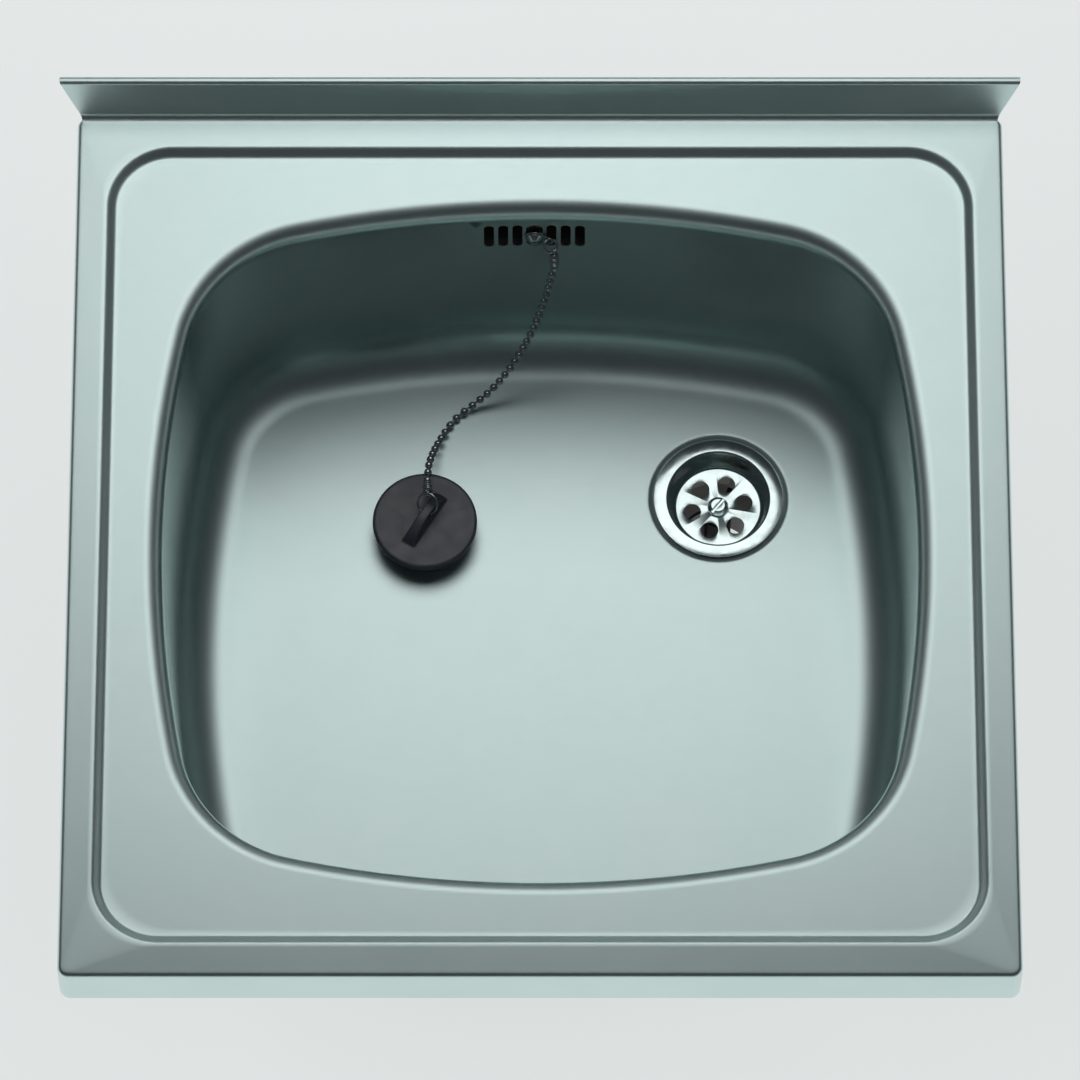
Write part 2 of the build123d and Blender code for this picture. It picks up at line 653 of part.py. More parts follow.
def chain_eyelet():
    """The eyelet under the screw's head: a washer with a tab bent out for the chain's ring."""
    washer = extrude(Circle(EYELET_RADIUS), amount=EYELET_THICKNESS)
    tab = Pos(EYELET_TAB_LENGTH / 2, 0) * Rectangle(EYELET_TAB_LENGTH, 2 * EYELET_TAB_RADIUS)
    tab += Pos(EYELET_TAB_LENGTH, 0) * Circle(EYELET_TAB_RADIUS)
    tab -= Pos(EYELET_TAB_LENGTH, 0) * Circle(EYELET_HOLE_RADIUS)
    tab = Rot(0, -EYELET_TAB_BEND, 0) * extrude(tab, amount=EYELET_THICKNESS)
    arm_length = EYELET_TAB_START + EYELET_THICKNESS / 2
    arm = Pos(arm_length / 2, 0, EYELET_THICKNESS / 2)
    arm = arm * Box(arm_length, 2 * EYELET_TAB_RADIUS, EYELET_THICKNESS)
    bore = Cylinder(OVERFLOW_SCREW_RADIUS + SCREW_CLEARANCE, 4 * EYELET_THICKNESS)
    eyelet = washer + arm + Pos(EYELET_TAB_START, 0, 0) * tab - bore
    return facing_front(EYELET_REAR).location * Rot(0, 0, EYELET_TAB_SLOPE) * eyelet


def wire_ring(centre, axis, radius):
    """A closed ring of round wire."""
    return Plane(origin=centre, z_dir=axis).location * Torus(radius, RING_WIRE_RADIUS)


def coupling(eye, end, ring_centre, ring_axis):
    """A chain coupling: a wire eye round its ring, then a barrel with two swells, up to the chain."""
    eye = Vector(*eye)
    run = Vector(*end) - eye
    spoke = eye - Vector(*ring_centre)
    tangent = spoke.cross(Vector(*ring_axis))
    eye_place = Plane(origin=eye, x_dir=run, z_dir=tangent)
    loop = eye_place.location * Torus(EYE_RADIUS, EYE_WIRE_RADIUS)
    length = run.length - EYE_RADIUS
    neck, first, first_end, waist, last, last_end = [EYE_RADIUS + share * length for share in SWELL_SHARES]
    barrel = turned(
        (0, EYE_RADIUS),
        (COUPLING_WAIST, neck),
        (COUPLING_RADIUS, first),
        (COUPLING_RADIUS, first_end),
        (COUPLING_WAIST, waist),
        (COUPLING_END_RADIUS, last),
        (COUPLING_END_RADIUS, last_end),
        (COUPLING_WAIST, run.length),
        (0, run.length),
    )
    barrel_place = Plane(origin=eye, z_dir=run)
    return loop + barrel_place.location * barrel


def ball_chain():
    """The chain's space: a tube of the balls' diameter along the chain's route."""
    points = [Vector(*point) for point in CHAIN_ROUTE]
    radii = []
    for before, corner, after in zip(points, points[1:], points[2:]):
        turn = (corner - before).get_angle(after - corner)
        shorter = min((corner - before).length, (after - corner).length)
        radii.append(ARC_SHARE * shorter / math.tan(math.radians(turn) / 2))
    path = FilletPolyline(*points, radius=radii, close=False)
    section = Plane(origin=points[0], z_dir=points[1] - points[0]) * Circle(BALL_DIAMETER / 2)
    tube = sweep(section, path=path)
    expected = math.pi * (BALL_DIAMETER / 2) ** 2 * path.length
    print("chain radii:", ", ".join(f"{radius:.1f}" for radius in radii))
    print(f"chain: {path.length:.1f} mm long, volume {tube.volume:.1f} of {expected:.1f} mm3")
    return tube


def rubber_plug():
    """The plug: a rim over a tapered hollow body, with a lug across the top for its ring."""
    body = turned(
        (0, PLUG_TOP),
        (PLUG_RIM_RADIUS, PLUG_TOP),
        (PLUG_RIM_RADIUS, PLUG_TOP - PLUG_RIM_HEIGHT),
        (PLUG_NECK_RADIUS, PLUG_TOP - PLUG_RIM_HEIGHT),
        (PLUG_FOOT_RADIUS, FLOOR_TOP),
        (PLUG_HOLLOW_RADIUS, FLOOR_TOP),
        (PLUG_HOLLOW_RADIUS, FLOOR_TOP + PLUG_HOLLOW_DEPTH),
        (0, FLOOR_TOP + PLUG_HOLLOW_DEPTH),
    )
    body = fillet(edges_at(body, PLUG_TOP), PLUG_EDGE_RADIUS)
    base = PLUG_TOP - JOIN
    side = Plane(origin=(0, 0, base), x_dir=(1, 0, 0), z_dir=(0, -1, 0))
    half = LUG_LENGTH / 2
    rise = LUG_HEIGHT + JOIN
    arch = make_face([Line((-half, 0), (half, 0)), ThreePointArc((half, 0), (0, rise), (-half, 0))])
    lug = extrude(side * arch, amount=LUG_FOOT_THICKNESS / 2, both=True)
    foot = Pos(0, 0, base) * Rectangle(LUG_LENGTH + JOIN, LUG_FOOT_THICKNESS)
    head = Pos(0, 0, base + rise) * Rectangle(LUG_LENGTH + JOIN, LUG_TOP_THICKNESS)
    lug = lug & loft([foot, head], ruled=True)
    hole_place = Plane(origin=(LUG_HOLE_SHIFT, 0, PLUG_TOP + LUG_HOLE_HEIGHT), z_dir=(0, 1, 0))
    lug -= extrude(hole_place * Circle(LUG_HOLE_RADIUS), amount=LUG_FOOT_THICKNESS, both=True)
    return Pos(PLUG_X, PLUG_Y, 0) * (body + Rot(0, 0, LUG_TURN) * lug)


def hose_frame(travel, straight, bend):
    """The plane across the hose at a distance along it, with its X axis held level."""
    level = (along_hose(1, 0) - along_hose(0, 0)).cross(Vector(0, 0, 1))
    outward = along_hose(1, 0) - along_hose(0, 0)
    upward = Vector(0, 0, 1)
    start = PORT_REACH - CUFF_INSERTION
    if travel < straight:
        return Plane(origin=along_hose(start + travel, PORT_Z), x_dir=level, z_dir=outward)
    turn = min((travel - straight) / HOSE_BEND_RADIUS, math.pi / 2)
    past = max(travel - straight - bend, 0)
    radial = start + straight + HOSE_BEND_RADIUS * math.sin(turn)
    height = PORT_Z + HOSE_BEND_RADIUS * (1 - math.cos(turn)) + past
    heading = outward * math.cos(turn) + upward * math.sin(turn)
    return Plane(origin=along_hose(radial, height), x_dir=level, z_dir=heading)


def overflow_hose():
    """The ribbed hose: level out of the waste body's port, one bend, then up to the spigot."""
    across = math.hypot(OVERFLOW_X - WASTE_X, SPIGOT_Y - WASTE_Y)
    straight = across - HOSE_BEND_RADIUS - (PORT_REACH - CUFF_INSERTION)
    bend = HOSE_BEND_RADIUS * math.pi / 2
    rise = SPIGOT_BOTTOM + CUFF_INSERTION - (PORT_Z + HOSE_BEND_RADIUS)
    length = straight + bend + rise
    ribbed = length - 2 * CUFF_LENGTH
    ribs = round(ribbed / RIB_PITCH)
    pitch = ribbed / ribs
    rings = [(0, CUFF_RADIUS), (CUFF_LENGTH, CUFF_RADIUS)]
    for i in range(ribs):
        for share, radius in zip(RIB_SHARES, RIB_PROFILE):
            rings.append((CUFF_LENGTH + (i + share) * pitch, radius))
    rings.append((length - CUFF_LENGTH, CUFF_RADIUS))
    rings.append((length, CUFF_RADIUS))
    circles = [hose_frame(travel, straight, bend) * Circle(radius) for travel, radius in rings]
    start = along_hose(PORT_REACH - CUFF_INSERTION, PORT_Z)
    bend_start = along_hose(across - HOSE_BEND_RADIUS, PORT_Z)
    bend_end = along_hose(across, PORT_Z + HOSE_BEND_RADIUS)
    end = along_hose(across, PORT_Z + HOSE_BEND_RADIUS + rise)
    middle = hose_frame(straight + bend / 2, straight, bend).origin
    turn = ThreePointArc(bend_start, middle, bend_end)
    path = Wire([Line(start, bend_start), turn, Line(bend_end, end)])
    bore = sweep(hose_frame(0, straight, bend) * Circle(HOSE_BORE), path=path)
    print(f"hose: {length:.1f} mm long, {ribs} ribs")
    return loft(circles, ruled=True) - bore


def hose_seal(place):
    """The rubber ring round the hose's plain end, pressed between the port and the nut's lid."""
    face = Circle(PORT_RADIUS - SEAL_CLEARANCE) - Circle(CUFF_RADIUS + SOCKET_CLEARANCE / 2)
    return extrude(place * face, amount=SEAL_LENGTH)


def hose_nut(place):
    """The union nut over the port, with grips round it and a lid that the hose passes."""
    outer = Circle(NUT_RADIUS)
    for i in range(NUT_GRIPS):
        turn = math.radians(i * 360 / NUT_GRIPS)
        outer -= Pos(NUT_RADIUS * math.cos(turn), NUT_RADIUS * math.sin(turn)) * Circle(NUT_GRIP_RADIUS)
    depth = NUT_OVERLAP + SEAL_LENGTH
    nut = extrude(outer, amount=depth + NUT_LID)
    nut -= extrude(Circle(PORT_RADIUS + SOCKET_CLEARANCE), amount=depth)
    nut -= extrude(Circle(CUFF_RADIUS + SOCKET_CLEARANCE), amount=depth + NUT_LID)
    return place.location * nut


def fixing_brackets():
    """Four angle brackets under the top, each with a screw hole towards the cabinet's side."""
    line = Polyline(
        (BRACKET_FACE_X - BRACKET_ARM, INNER_TOP - SHEET),
        (BRACKET_FACE_X, INNER_TOP - SHEET),
        (BRACKET_FACE_X, INNER_TOP - SHEET - BRACKET_LEG),
    )
    section = make_face(offset(line, amount=BRACKET_THICKNESS, side=Side.RIGHT))
    bracket = extrude(Plane.XZ * section, amount=BRACKET_WIDTH / 2, both=True)
    place = Plane(origin=(BRACKET_FACE_X, 0, BRACKET_HOLE_Z), x_dir=(0, 1, 0), z_dir=(1, 0, 0))
    bracket -= extrude(place * Circle(BRACKET_HOLE_RADIUS), amount=2 * BRACKET_THICKNESS, both=True)
    right = [Pos(0, y, 0) * bracket for y in (-BRACKET_Y, BRACKET_Y)]
    left = [mirror(piece, about=Plane.YZ) for piece in right]
    return Compound(children=right + left)


def deadening_pad():
    """The pad glued to the underside of the bowl's floor."""
    face = Pos(PAD_X, PAD_Y, FLOOR_TOP - SHEET) * RectangleRounded(PAD_WIDTH, PAD_LENGTH, PAD_CORNER)
    return extrude(face, amount=-PAD_THICKNESS)


os.makedirs("parts", exist_ok=True)
write(sink_top(), "sink_top")
write(sink_bowl(), "sink_bowl")
write(deadening_pad(), "deadening_pad")
write(fixing_brackets(), "fixing_brackets")
write(strainer_cup(), "strainer_cup")
write(flange_seal(), "flange_seal")
write(strainer_screw(), "strainer_screw")
write(body_seal(), "body_seal")
write(waste_body(), "waste_body")
write(waste_insert(), "waste_insert")
write(overflow_gasket(), "overflow_gasket")
write(overflow_housing(), "overflow_housing")
write(overflow_insert(), "overflow_insert")
write(overflow_screw(), "overflow_screw")
write(chain_eyelet(), "chain_eyelet")
write(wire_ring(ANCHOR_RING_CENTRE, ANCHOR_RING_AXIS, ANCHOR_RING_RADIUS), "anchor_ring")
chain = ball_chain()
upper = coupling(UPPER_EYE, CHAIN_ROUTE[0], ANCHOR_RING_CENTRE, ANCHOR_RING_AXIS)
lower = coupling(LOWER_EYE, CHAIN_ROUTE[-1], PLUG_RING_CENTRE, PLUG_RING_AXIS)
write(upper - chain, "upper_coupling")
write(chain, "ball_chain")
write(lower - chain, "lower_coupling")
write(wire_ring(PLUG_RING_CENTRE, PLUG_RING_AXIS, PLUG_RING_RADIUS), "plug_ring")
write(rubber_plug(), "rubber_plug")
write(overflow_hose(), "overflow_hose")
write(hose_seal(spigot_place(SPIGOT_BOTTOM)), "hose_seal_upper")
write(hose_seal(port_place(PORT_REACH)), "hose_seal_lower")
write(hose_nut(spigot_place(SPIGOT_BOTTOM + NUT_OVERLAP)), "hose_nut_upper")
write(hose_nut(port_place(PORT_REACH - NUT_OVERLAP)), "hose_nut_lower")
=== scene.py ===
import math

import bmesh
import bpy
import numpy as np
from mathutils import Matrix, Vector, geometry


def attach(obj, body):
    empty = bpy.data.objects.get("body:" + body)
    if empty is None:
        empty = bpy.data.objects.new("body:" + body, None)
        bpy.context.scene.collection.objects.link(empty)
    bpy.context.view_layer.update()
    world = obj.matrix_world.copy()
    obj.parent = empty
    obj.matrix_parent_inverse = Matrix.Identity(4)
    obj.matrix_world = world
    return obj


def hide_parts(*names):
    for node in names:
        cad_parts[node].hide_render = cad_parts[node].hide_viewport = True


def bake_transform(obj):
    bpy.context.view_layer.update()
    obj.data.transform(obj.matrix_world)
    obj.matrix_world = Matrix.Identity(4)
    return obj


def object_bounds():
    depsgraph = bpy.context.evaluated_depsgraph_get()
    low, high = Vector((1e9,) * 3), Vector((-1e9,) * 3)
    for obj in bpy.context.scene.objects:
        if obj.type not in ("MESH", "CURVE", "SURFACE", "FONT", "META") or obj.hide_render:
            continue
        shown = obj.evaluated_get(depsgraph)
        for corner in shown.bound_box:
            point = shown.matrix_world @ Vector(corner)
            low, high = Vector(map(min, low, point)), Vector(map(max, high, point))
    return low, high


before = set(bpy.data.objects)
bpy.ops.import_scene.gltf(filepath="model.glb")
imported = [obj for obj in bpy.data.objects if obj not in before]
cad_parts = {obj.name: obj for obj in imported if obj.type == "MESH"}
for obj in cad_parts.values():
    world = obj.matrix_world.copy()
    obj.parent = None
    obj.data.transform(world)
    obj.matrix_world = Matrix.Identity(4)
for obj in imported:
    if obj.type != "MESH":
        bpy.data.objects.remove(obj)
cad_lowest, cad_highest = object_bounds()
scene = bpy.context.scene
MM = 0.001


# The view: from above the front edge, leaning back from plumb by a quarter of a right angle,
# through a long lens that keeps the two sides of the sink nearly parallel.
VIEW_TILT = math.radians(24.5)
VIEW_DISTANCE = 4.6
VIEW_CENTRE = Vector((0, 4 * MM, -12 * MM))
SHOWN_WIDTH = 573 * MM

view_data = bpy.data.cameras.new("camera")
view_data.sensor_width = 36
view_data.lens = view_data.sensor_width * VIEW_DISTANCE / SHOWN_WIDTH
view_data.clip_end = 60
camera = bpy.data.objects.new("camera", view_data)
towards_eye = Vector((0, -math.sin(VIEW_TILT), math.cos(VIEW_TILT)))
camera.location = VIEW_CENTRE + towards_eye * VIEW_DISTANCE
camera.rotation_euler = (VIEW_TILT, 0, 0)
scene.collection.objects.link(camera)
scene.camera = camera
scene.view_settings.view_transform = "Standard"


# The light: one large soft box over the rear of the sink, which the steel mirrors, and soft
# fills for what isn't metal, above a pale floor that curves up into a pale wall all round.
def soft_box(name, centre, aim, width, length, brightness, seen_in_metal):
    """A rectangular lamp of an even brightness, turned towards a point."""
    data = bpy.data.lights.new(name, "AREA")
    data.shape = "RECTANGLE"
    data.size = width
    data.size_y = length
    data.energy = brightness * math.pi * width * length
    lamp = bpy.data.objects.new(name, data)
    lamp.location = centre
    lamp.rotation_euler = (Vector(aim) - Vector(centre)).to_track_quat("-Z", "Y").to_euler()
    lamp.visible_glossy = seen_in_metal
    scene.collection.objects.link(lamp)


soft_box("rear_box", (0, 0.84, 1.20), (0, 0.84, 0), 1.00, 1.16, 1.35, True)
soft_box("wide_box", (0, 0.90, 1.30), (0, 0.90, 0), 2.0, 1.3, 0.15, True)
soft_box("left_fill", (-2.2, -0.6, 2.2), (0, 0, 0), 2.2, 2.2, 2.6, False)
soft_box("right_fill", (2.0, -0.8, 2.4), (0, 0, 0), 2.2, 2.2, 2.2, False)


class Shade:
    """A socket of a shader. Sums on it add Math nodes, and node() adds a node of any other type."""

    def __init__(self, tree, socket=None):
        self.tree = tree
        self.socket = socket

    def node(self, kind, settings=None, inputs=None, output=0):
        made = self.tree.nodes.new(kind)
        for name, value in (settings or {}).items():
            if name == "stops":
                made.color_ramp.elements[0].position, made.color_ramp.elements[0].color = value[0]
                made.color_ramp.elements[1].position, made.color_ramp.elements[1].color = value[1]
            else:
                setattr(made, name, value)
        for name, value in (inputs or {}).items():
            if isinstance(value, Shade):
                self.tree.links.new(value.socket, made.inputs[name])
            else:
                made.inputs[name].default_value = value
        return Shade(self.tree, made.outputs[output])

    def maths(self, operation, *values):
        return self.node("ShaderNodeMath", {"operation": operation}, dict(enumerate(values)))

    def colours(self, share, first, second):
        """A mix of two colours, from the first at 0 to the second at 1."""
        return self.node("ShaderNodeMix", {"data_type": "RGBA"}, {0: share, 6: first, 7: second}, 2)

    def __add__(self, other):
        return self.maths("ADD", self, other)

    def __sub__(self, other):
        return self.maths("SUBTRACT", self, other)

    def __rsub__(self, other):
        return self.maths("SUBTRACT", other, self)

    def __mul__(self, other):
        return self.maths("MULTIPLY", self, other)

    __radd__ = __add__
    __rmul__ = __mul__


BACKDROP_COLOUR = (0.86, 0.89, 0.885, 1)
BACKDROP_OWN_LIGHT = 0.72
FLOOR_BELOW = 1.5 * MM
FLOOR_REACH = 8.5
WALL_HEIGHT = 1.3
COVE_RADIUS = 1.5


def backdrop_material():
    """Pale matt paper, seen by eye and metal at its own paleness, and still holding a shadow."""
    material = bpy.data.materials.new("backdrop_paper")
    material.use_nodes = True
    tree = material.node_tree
    tree.nodes.clear()
    start = Shade(tree)
    rays = [start.node("ShaderNodeLightPath", output=name) for name in (0, 3, 5)]
    share = start.maths("MAXIMUM", start.maths("MAXIMUM", rays[0], rays[1]), rays[2])
    paper = start.node("ShaderNodeBsdfDiffuse", inputs={"Color": BACKDROP_COLOUR})
    glow = start.node("ShaderNodeEmission", inputs={"Color": BACKDROP_COLOUR})
    mixed = start.node("ShaderNodeMixShader", inputs={0: share * BACKDROP_OWN_LIGHT, 1: paper, 2: glow})
    result = tree.nodes.new("ShaderNodeOutputMaterial")
    tree.links.new(mixed.socket, result.inputs["Surface"])
    return material


def backdrop():
    """The floor just under the sink, its cove and the wall, turned as one surface."""
    floor = cad_lowest.z - FLOOR_BELOW
    section = [(0, floor), (1, floor), (FLOOR_REACH, floor)]
    for step in range(1, 9):
        turn = math.radians(90 * step / 8)
        rise = floor + COVE_RADIUS * (1 - math.cos(turn))
        section.append((FLOOR_REACH + COVE_RADIUS * math.sin(turn), rise))
    section.append((FLOOR_REACH + COVE_RADIUS, WALL_HEIGHT))
    made = bmesh.new()
    rings = []
    for radius, height in section:
        turns = [2 * math.pi * i / 64 for i in range(64)] if radius else [0]
        rings.append([made.verts.new((radius * math.cos(t), radius * math.sin(t), height)) for t in turns])
    for inner, outer in zip(rings, rings[1:]):
        for i in range(64):
            j = (i + 1) % 64
            corners = [inner[i % len(inner)], outer[i], outer[j], inner[j % len(inner)]]
            made.faces.new(list(dict.fromkeys(corners)))
    mesh = bpy.data.meshes.new("backdrop")
    made.to_mesh(mesh)
    made.free()
    mesh.shade_smooth()
    mesh.materials.append(backdrop_material())
    paper = bpy.data.objects.new("backdrop", mesh)
    scene.collection.objects.link(paper)


backdrop()
world = bpy.data.worlds.new("studio")
world.use_nodes = True
world.node_tree.nodes["Background"].inputs["Color"].default_value = (0.035, 0.037, 0.040, 1)
world.node_tree.nodes["Background"].inputs["Strength"].default_value = 1
scene.world = world


# The ball chain: hollow pressed balls on short wire links, of plated brass. It hangs from the
# overflow's screw down the rear wall, turns over on the floor and climbs to the plug.
CHAIN_ROUTE = [
    (0.0080, 0.1813, -0.0420),
    (0.0048, 0.1770, -0.0584),
    (0.0012, 0.1728, -0.0760),
    (-0.0038, 0.1678, -0.0936),
    (-0.0104, 0.1622, -0.1108),
    (-0.0188, 0.1564, -0.1266),
    (-0.0282, 0.1510, -0.1392),
    (-0.0374, 0.1470, -0.1470),
    (-0.0456, 0.1416, -0.1499),
    (-0.0510, 0.1340, -0.1492),
    (-0.0546, 0.1260, -0.1458),
    (-0.0574, 0.1184, -0.1408),
    (-0.0594, 0.1112, -0.1358),
    (-0.0608, 0.1042, -0.1313),
    (-0.0615, 0.0972, -0.1286),
    (-0.0616, 0.0903, -0.1270),
]
BALL_DIAMETER = 4.4 * MM
BALL_PITCH = 5.6 * MM
LINK_RADIUS = 0.55 * MM


class Finish:
    """A material under way: constant values and sockets of its shader, set by their names."""

    def __init__(self, name, **values):
        self.material = bpy.data.materials.new(name)
        self.material.use_nodes = True
        self.tree = self.material.node_tree
        self.shader = self.tree.nodes["Principled BSDF"]
        self.start = Shade(self.tree)
        self.set(**values)

    def set(self, **values):
        for name, value in values.items():
            target = self.shader.inputs[name.replace("_", " ")]
            if isinstance(value, Shade):
                self.tree.links.new(value.socket, target)
            else:
                target.default_value = value

    def place(self, stretch=(1, 1, 1)):
        """Where a point is on the object, in metres, stretched along its axes."""
        where = self.start.node("ShaderNodeTexCoord", output="Object")
        return self.start.node("ShaderNodeMapping", inputs={"Vector": where, "Scale": stretch})

    def noise(self, size, detail=2, stretch=(1, 1, 1)):
        """Cloudy noise whose patches are about size metres across."""
        inputs = {"Vector": self.place(stretch), "Scale": 1 / size, "Detail": detail}
        return self.start.node("ShaderNodeTexNoise", inputs=inputs)

    def spread(self, value, low, high, new_low, new_high):
        """Stretches a value's range between two limits over another range."""
        inputs = {0: value, 1: low, 2: high, 3: new_low, 4: new_high}
        return self.start.node("ShaderNodeMapRange", inputs=inputs)

    def bump(self, height, depth, strength=1):
        inputs = {"Height": height, "Distance": depth, "Strength": strength}
        self.set(Normal=self.start.node("ShaderNodeBump", inputs=inputs))


def plated_finish():
    """Bright plating, a little dulled where hands and water reach it."""
    finish = Finish("plated_brass", Metallic=1)
    dull = finish.noise(3 * MM, detail=3)
    finish.set(Base_Color=finish.start.colours(dull, (0.70, 0.73, 0.73, 1), (0.46, 0.47, 0.46, 1)))
    finish.set(Roughness=finish.spread(dull, 0.3, 0.7, 0.12, 0.30))
    finish.bump(finish.noise(0.4 * MM), 0.01 * MM)
    return finish.material


PLATED = plated_finish()
SMOOTH_BELOW = math.radians(32)


def fit(name, made, material, body, replaced=()):
    """Turns mesh work into a finished piece: soft shading with crisp edges, material and place."""
    bmesh.ops.recalc_face_normals(made, faces=made.faces[:])
    for face in made.faces:
        face.smooth = True
    for edge in made.edges:
        edge.smooth = edge.calc_face_angle(0) < SMOOTH_BELOW
    mesh = bpy.data.meshes.new(name)
    made.to_mesh(mesh)
    made.free()
    mesh.materials.append(material)
    piece = bpy.data.objects.new(name, mesh)
    scene.collection.objects.link(piece)
    if body:
        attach(piece, body)
    if replaced:
        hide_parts(*replaced)
    return piece


def smooth_route(points):
    """The even line that a NURBS spline draws through a route's points, every fifth of a millimetre."""
    data = bpy.data.curves.new("route", "CURVE")
    data.dimensions = "3D"
    spline = data.splines.new("NURBS")
    spline.points.add(len(points) - 1)
    for point, place in zip(spline.points, points):
        point.co = (*place, 1)
    spline.order_u = 3
    spline.use_endpoint_u = True
    spline.resolution_u = 32
    curve = bpy.data.objects.new("route", data)
    scene.collection.objects.link(curve)
    bpy.context.view_layer.update()
    seen = curve.evaluated_get(bpy.context.evaluated_depsgraph_get())
    mesh = bpy.data.meshes.new_from_object(seen)
    line = np.array([vertex.co for vertex in mesh.vertices])
    bpy.data.objects.remove(curve)
    bpy.data.meshes.remove(mesh)
    travel = np.concatenate([[0], np.cumsum(np.linalg.norm(np.diff(line, axis=0), axis=1))])
    return line, travel


def along(line, travel, distances):
    """The points at the given distances along a line."""
    return np.stack([np.interp(distances, travel, line[:, axis]) for axis in range(3)], axis=1)


def add_ball(made, centre, radius, segments=18, rings=12):
    """A ball in mesh work."""
    bmesh.ops.create_uvsphere(
        made, u_segments=segments, v_segments=rings, radius=radius, matrix=Matrix.Translation(centre)
    )


def add_wire(made, start, end, radius, sides=10):
    """A short straight length of round wire in mesh work."""
    start, end = Vector(start), Vector(end)
    run = end - start
    place = Matrix.Translation((start + end) / 2) @ run.to_track_quat("Z", "Y").to_matrix().to_4x4()
    bmesh.ops.create_cone(
        made, cap_ends=True, segments=sides, radius1=radius, radius2=radius, depth=run.length, matrix=place
    )


def chain():
    """The balls and links along the route."""
    line, travel = smooth_route(CHAIN_ROUTE)
    count = round(travel[-1] / BALL_PITCH)
    half_ball = BALL_DIAMETER / 2
    centres = along(line, travel, np.linspace(half_ball, travel[-1] - half_ball, count))
    made = bmesh.new()
    owners = []
    for i, centre in enumerate(centres):
        add_ball(made, centre, half_ball)
        owners += [i] * (len(made.verts) - len(owners))
        if i + 1 < count:
            add_wire(made, centre, centres[i + 1], LINK_RADIUS)
            owners += [i] * (len(made.verts) - len(owners))
    piece = fit("ball_chain", made, PLATED, None, ["ball_chain"])
    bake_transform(piece)
    return piece, along(line, travel, np.linspace(0, travel[-1], 400)), travel[-1]


ball_chain, chain_line, chain_length = chain()


# The fittings at the chain's two ends: a turned barrel that grips the last ball, its wire eye,
# and a split ring of spring wire, one in the screw's eyelet and one in the plug's lug.
RING_WIRE_RADIUS = 0.6 * MM
EYE_WIRE_RADIUS = 0.5 * MM
EYE_RADIUS = 1.35 * MM
ANCHOR_RING = (Vector((5.7, 187.7, -31.1)) * MM, Vector((-0.29, 0.46, -0.84)), 3.7 * MM)
PLUG_RING = (Vector((-61.5, 78.9, -128.5)) * MM, Vector((-0.36, -0.57, 0.74)), 5.8 * MM)
UPPER_EYE = Vector((7.4, 185.1, -33.1)) * MM
LOWER_EYE = Vector((-60.9, 83.3, -124.8)) * MM
BARREL_RADIUS = 2.8 * MM
BARREL_END_RADIUS = 2.5 * MM
BARREL_WAIST = 1.9 * MM


def rounded(corners, radii, steps=6):
    """A line through corners, each (across, up), with an arc of its radius at each inner one."""
    corners = [Vector(corner) for corner in corners]
    line = [corners[0]]
    for before, corner, after, radius in zip(corners, corners[1:], corners[2:], radii):
        if not radius:
            line.append(corner)
            continue
        back = (before - corner).normalized()
        ahead = (after - corner).normalized()
        half = back.angle(ahead) / 2
        centre = corner + (back + ahead).normalized() * radius / math.sin(half)
        start = corner + back * radius / math.tan(half) - centre
        end = corner + ahead * radius / math.tan(half) - centre
        turn = start.angle(end)
        for i in range(steps + 1):
            share = i / steps
            spoke = start * math.sin((1 - share) * turn) + end * math.sin(share * turn)
            line.append(centre + spoke / math.sin(turn))
    return line + [corners[-1]]


def add_turned(made, line, place=Matrix(), segments=96, closed=False, fluting=None):
    """A form turned about its own upright axis from a line of (radius, height) points."""
    turns = [2 * math.pi * i / segments for i in range(segments)]
    rings = []
    for radius, height in line:
        ring = []
        for turn in turns if radius > 1e-7 else [0]:
            out = fluting(radius, height, turn) if fluting else radius
            ring.append(made.verts.new(place @ Vector((out * math.cos(turn), out * math.sin(turn), height))))
        rings.append(ring)
    pairs = list(zip(rings, rings[1:])) + ([(rings[-1], rings[0])] if closed else [])
    for lower, upper in pairs:
        for i in range(segments):
            j = (i + 1) % segments
            corners = [
                lower[i % len(lower)], lower[j % len(lower)], upper[j % len(upper)], upper[i % len(upper)]
            ]
            corners = list(dict.fromkeys(corners))
            if len(corners) > 2:
                made.faces.new(corners)


def add_ring(made, place, radius, wire_radius, segments=64, sides=16):
    """A closed ring of round wire about a place's own upright axis."""
    turns = [2 * math.pi * i / sides for i in range(sides)]
    line = [(radius + wire_radius * math.cos(t), wire_radius * math.sin(t)) for t in turns]
    add_turned(made, line, place, segments, closed=True)


def facing(origin, direction):
    """The place at an origin whose own upright axis points in a direction."""
    turn = Vector(direction).to_track_quat("Z", "Y").to_matrix().to_4x4()
    return Matrix.Translation(origin) @ turn


def barrel(name, eye, chain_end, ring, body):
    """A barrel from its eye to the chain's end, with the eye's loop round the ring's wire."""
    made = bmesh.new()
    chain_end = Vector(chain_end)
    run = chain_end - eye
    length = run.length
    corners = [
        (0, EYE_RADIUS),
        (BARREL_WAIST, EYE_RADIUS),
        (BARREL_RADIUS, 0.30 * length),
        (BARREL_RADIUS, 0.45 * length),
        (BARREL_WAIST, 0.55 * length),
        (BARREL_END_RADIUS, 0.66 * length),
        (BARREL_END_RADIUS, 0.86 * length),
        (BARREL_WAIST, length),
        (0, length),
    ]
    radii = [0.3 * MM, 0.5 * MM, 0.5 * MM, 0.3 * MM, 0.5 * MM, 0.5 * MM, 0.3 * MM]
    add_turned(made, rounded(corners, radii, 4), facing(eye, run), 32)
    centre, axis, _ = ring
    tangent = (eye - centre).cross(axis)
    add_ring(made, facing(eye, tangent), EYE_RADIUS, EYE_WIRE_RADIUS, 32, 12)
    return fit(name, made, PLATED, body, [name])


def split_ring(name, ring, body):
    """A ring of spring wire."""
    centre, axis, radius = ring
    made = bmesh.new()
    add_ring(made, facing(centre, axis), radius, RING_WIRE_RADIUS)
    return fit(name, made, PLATED, body, [name])


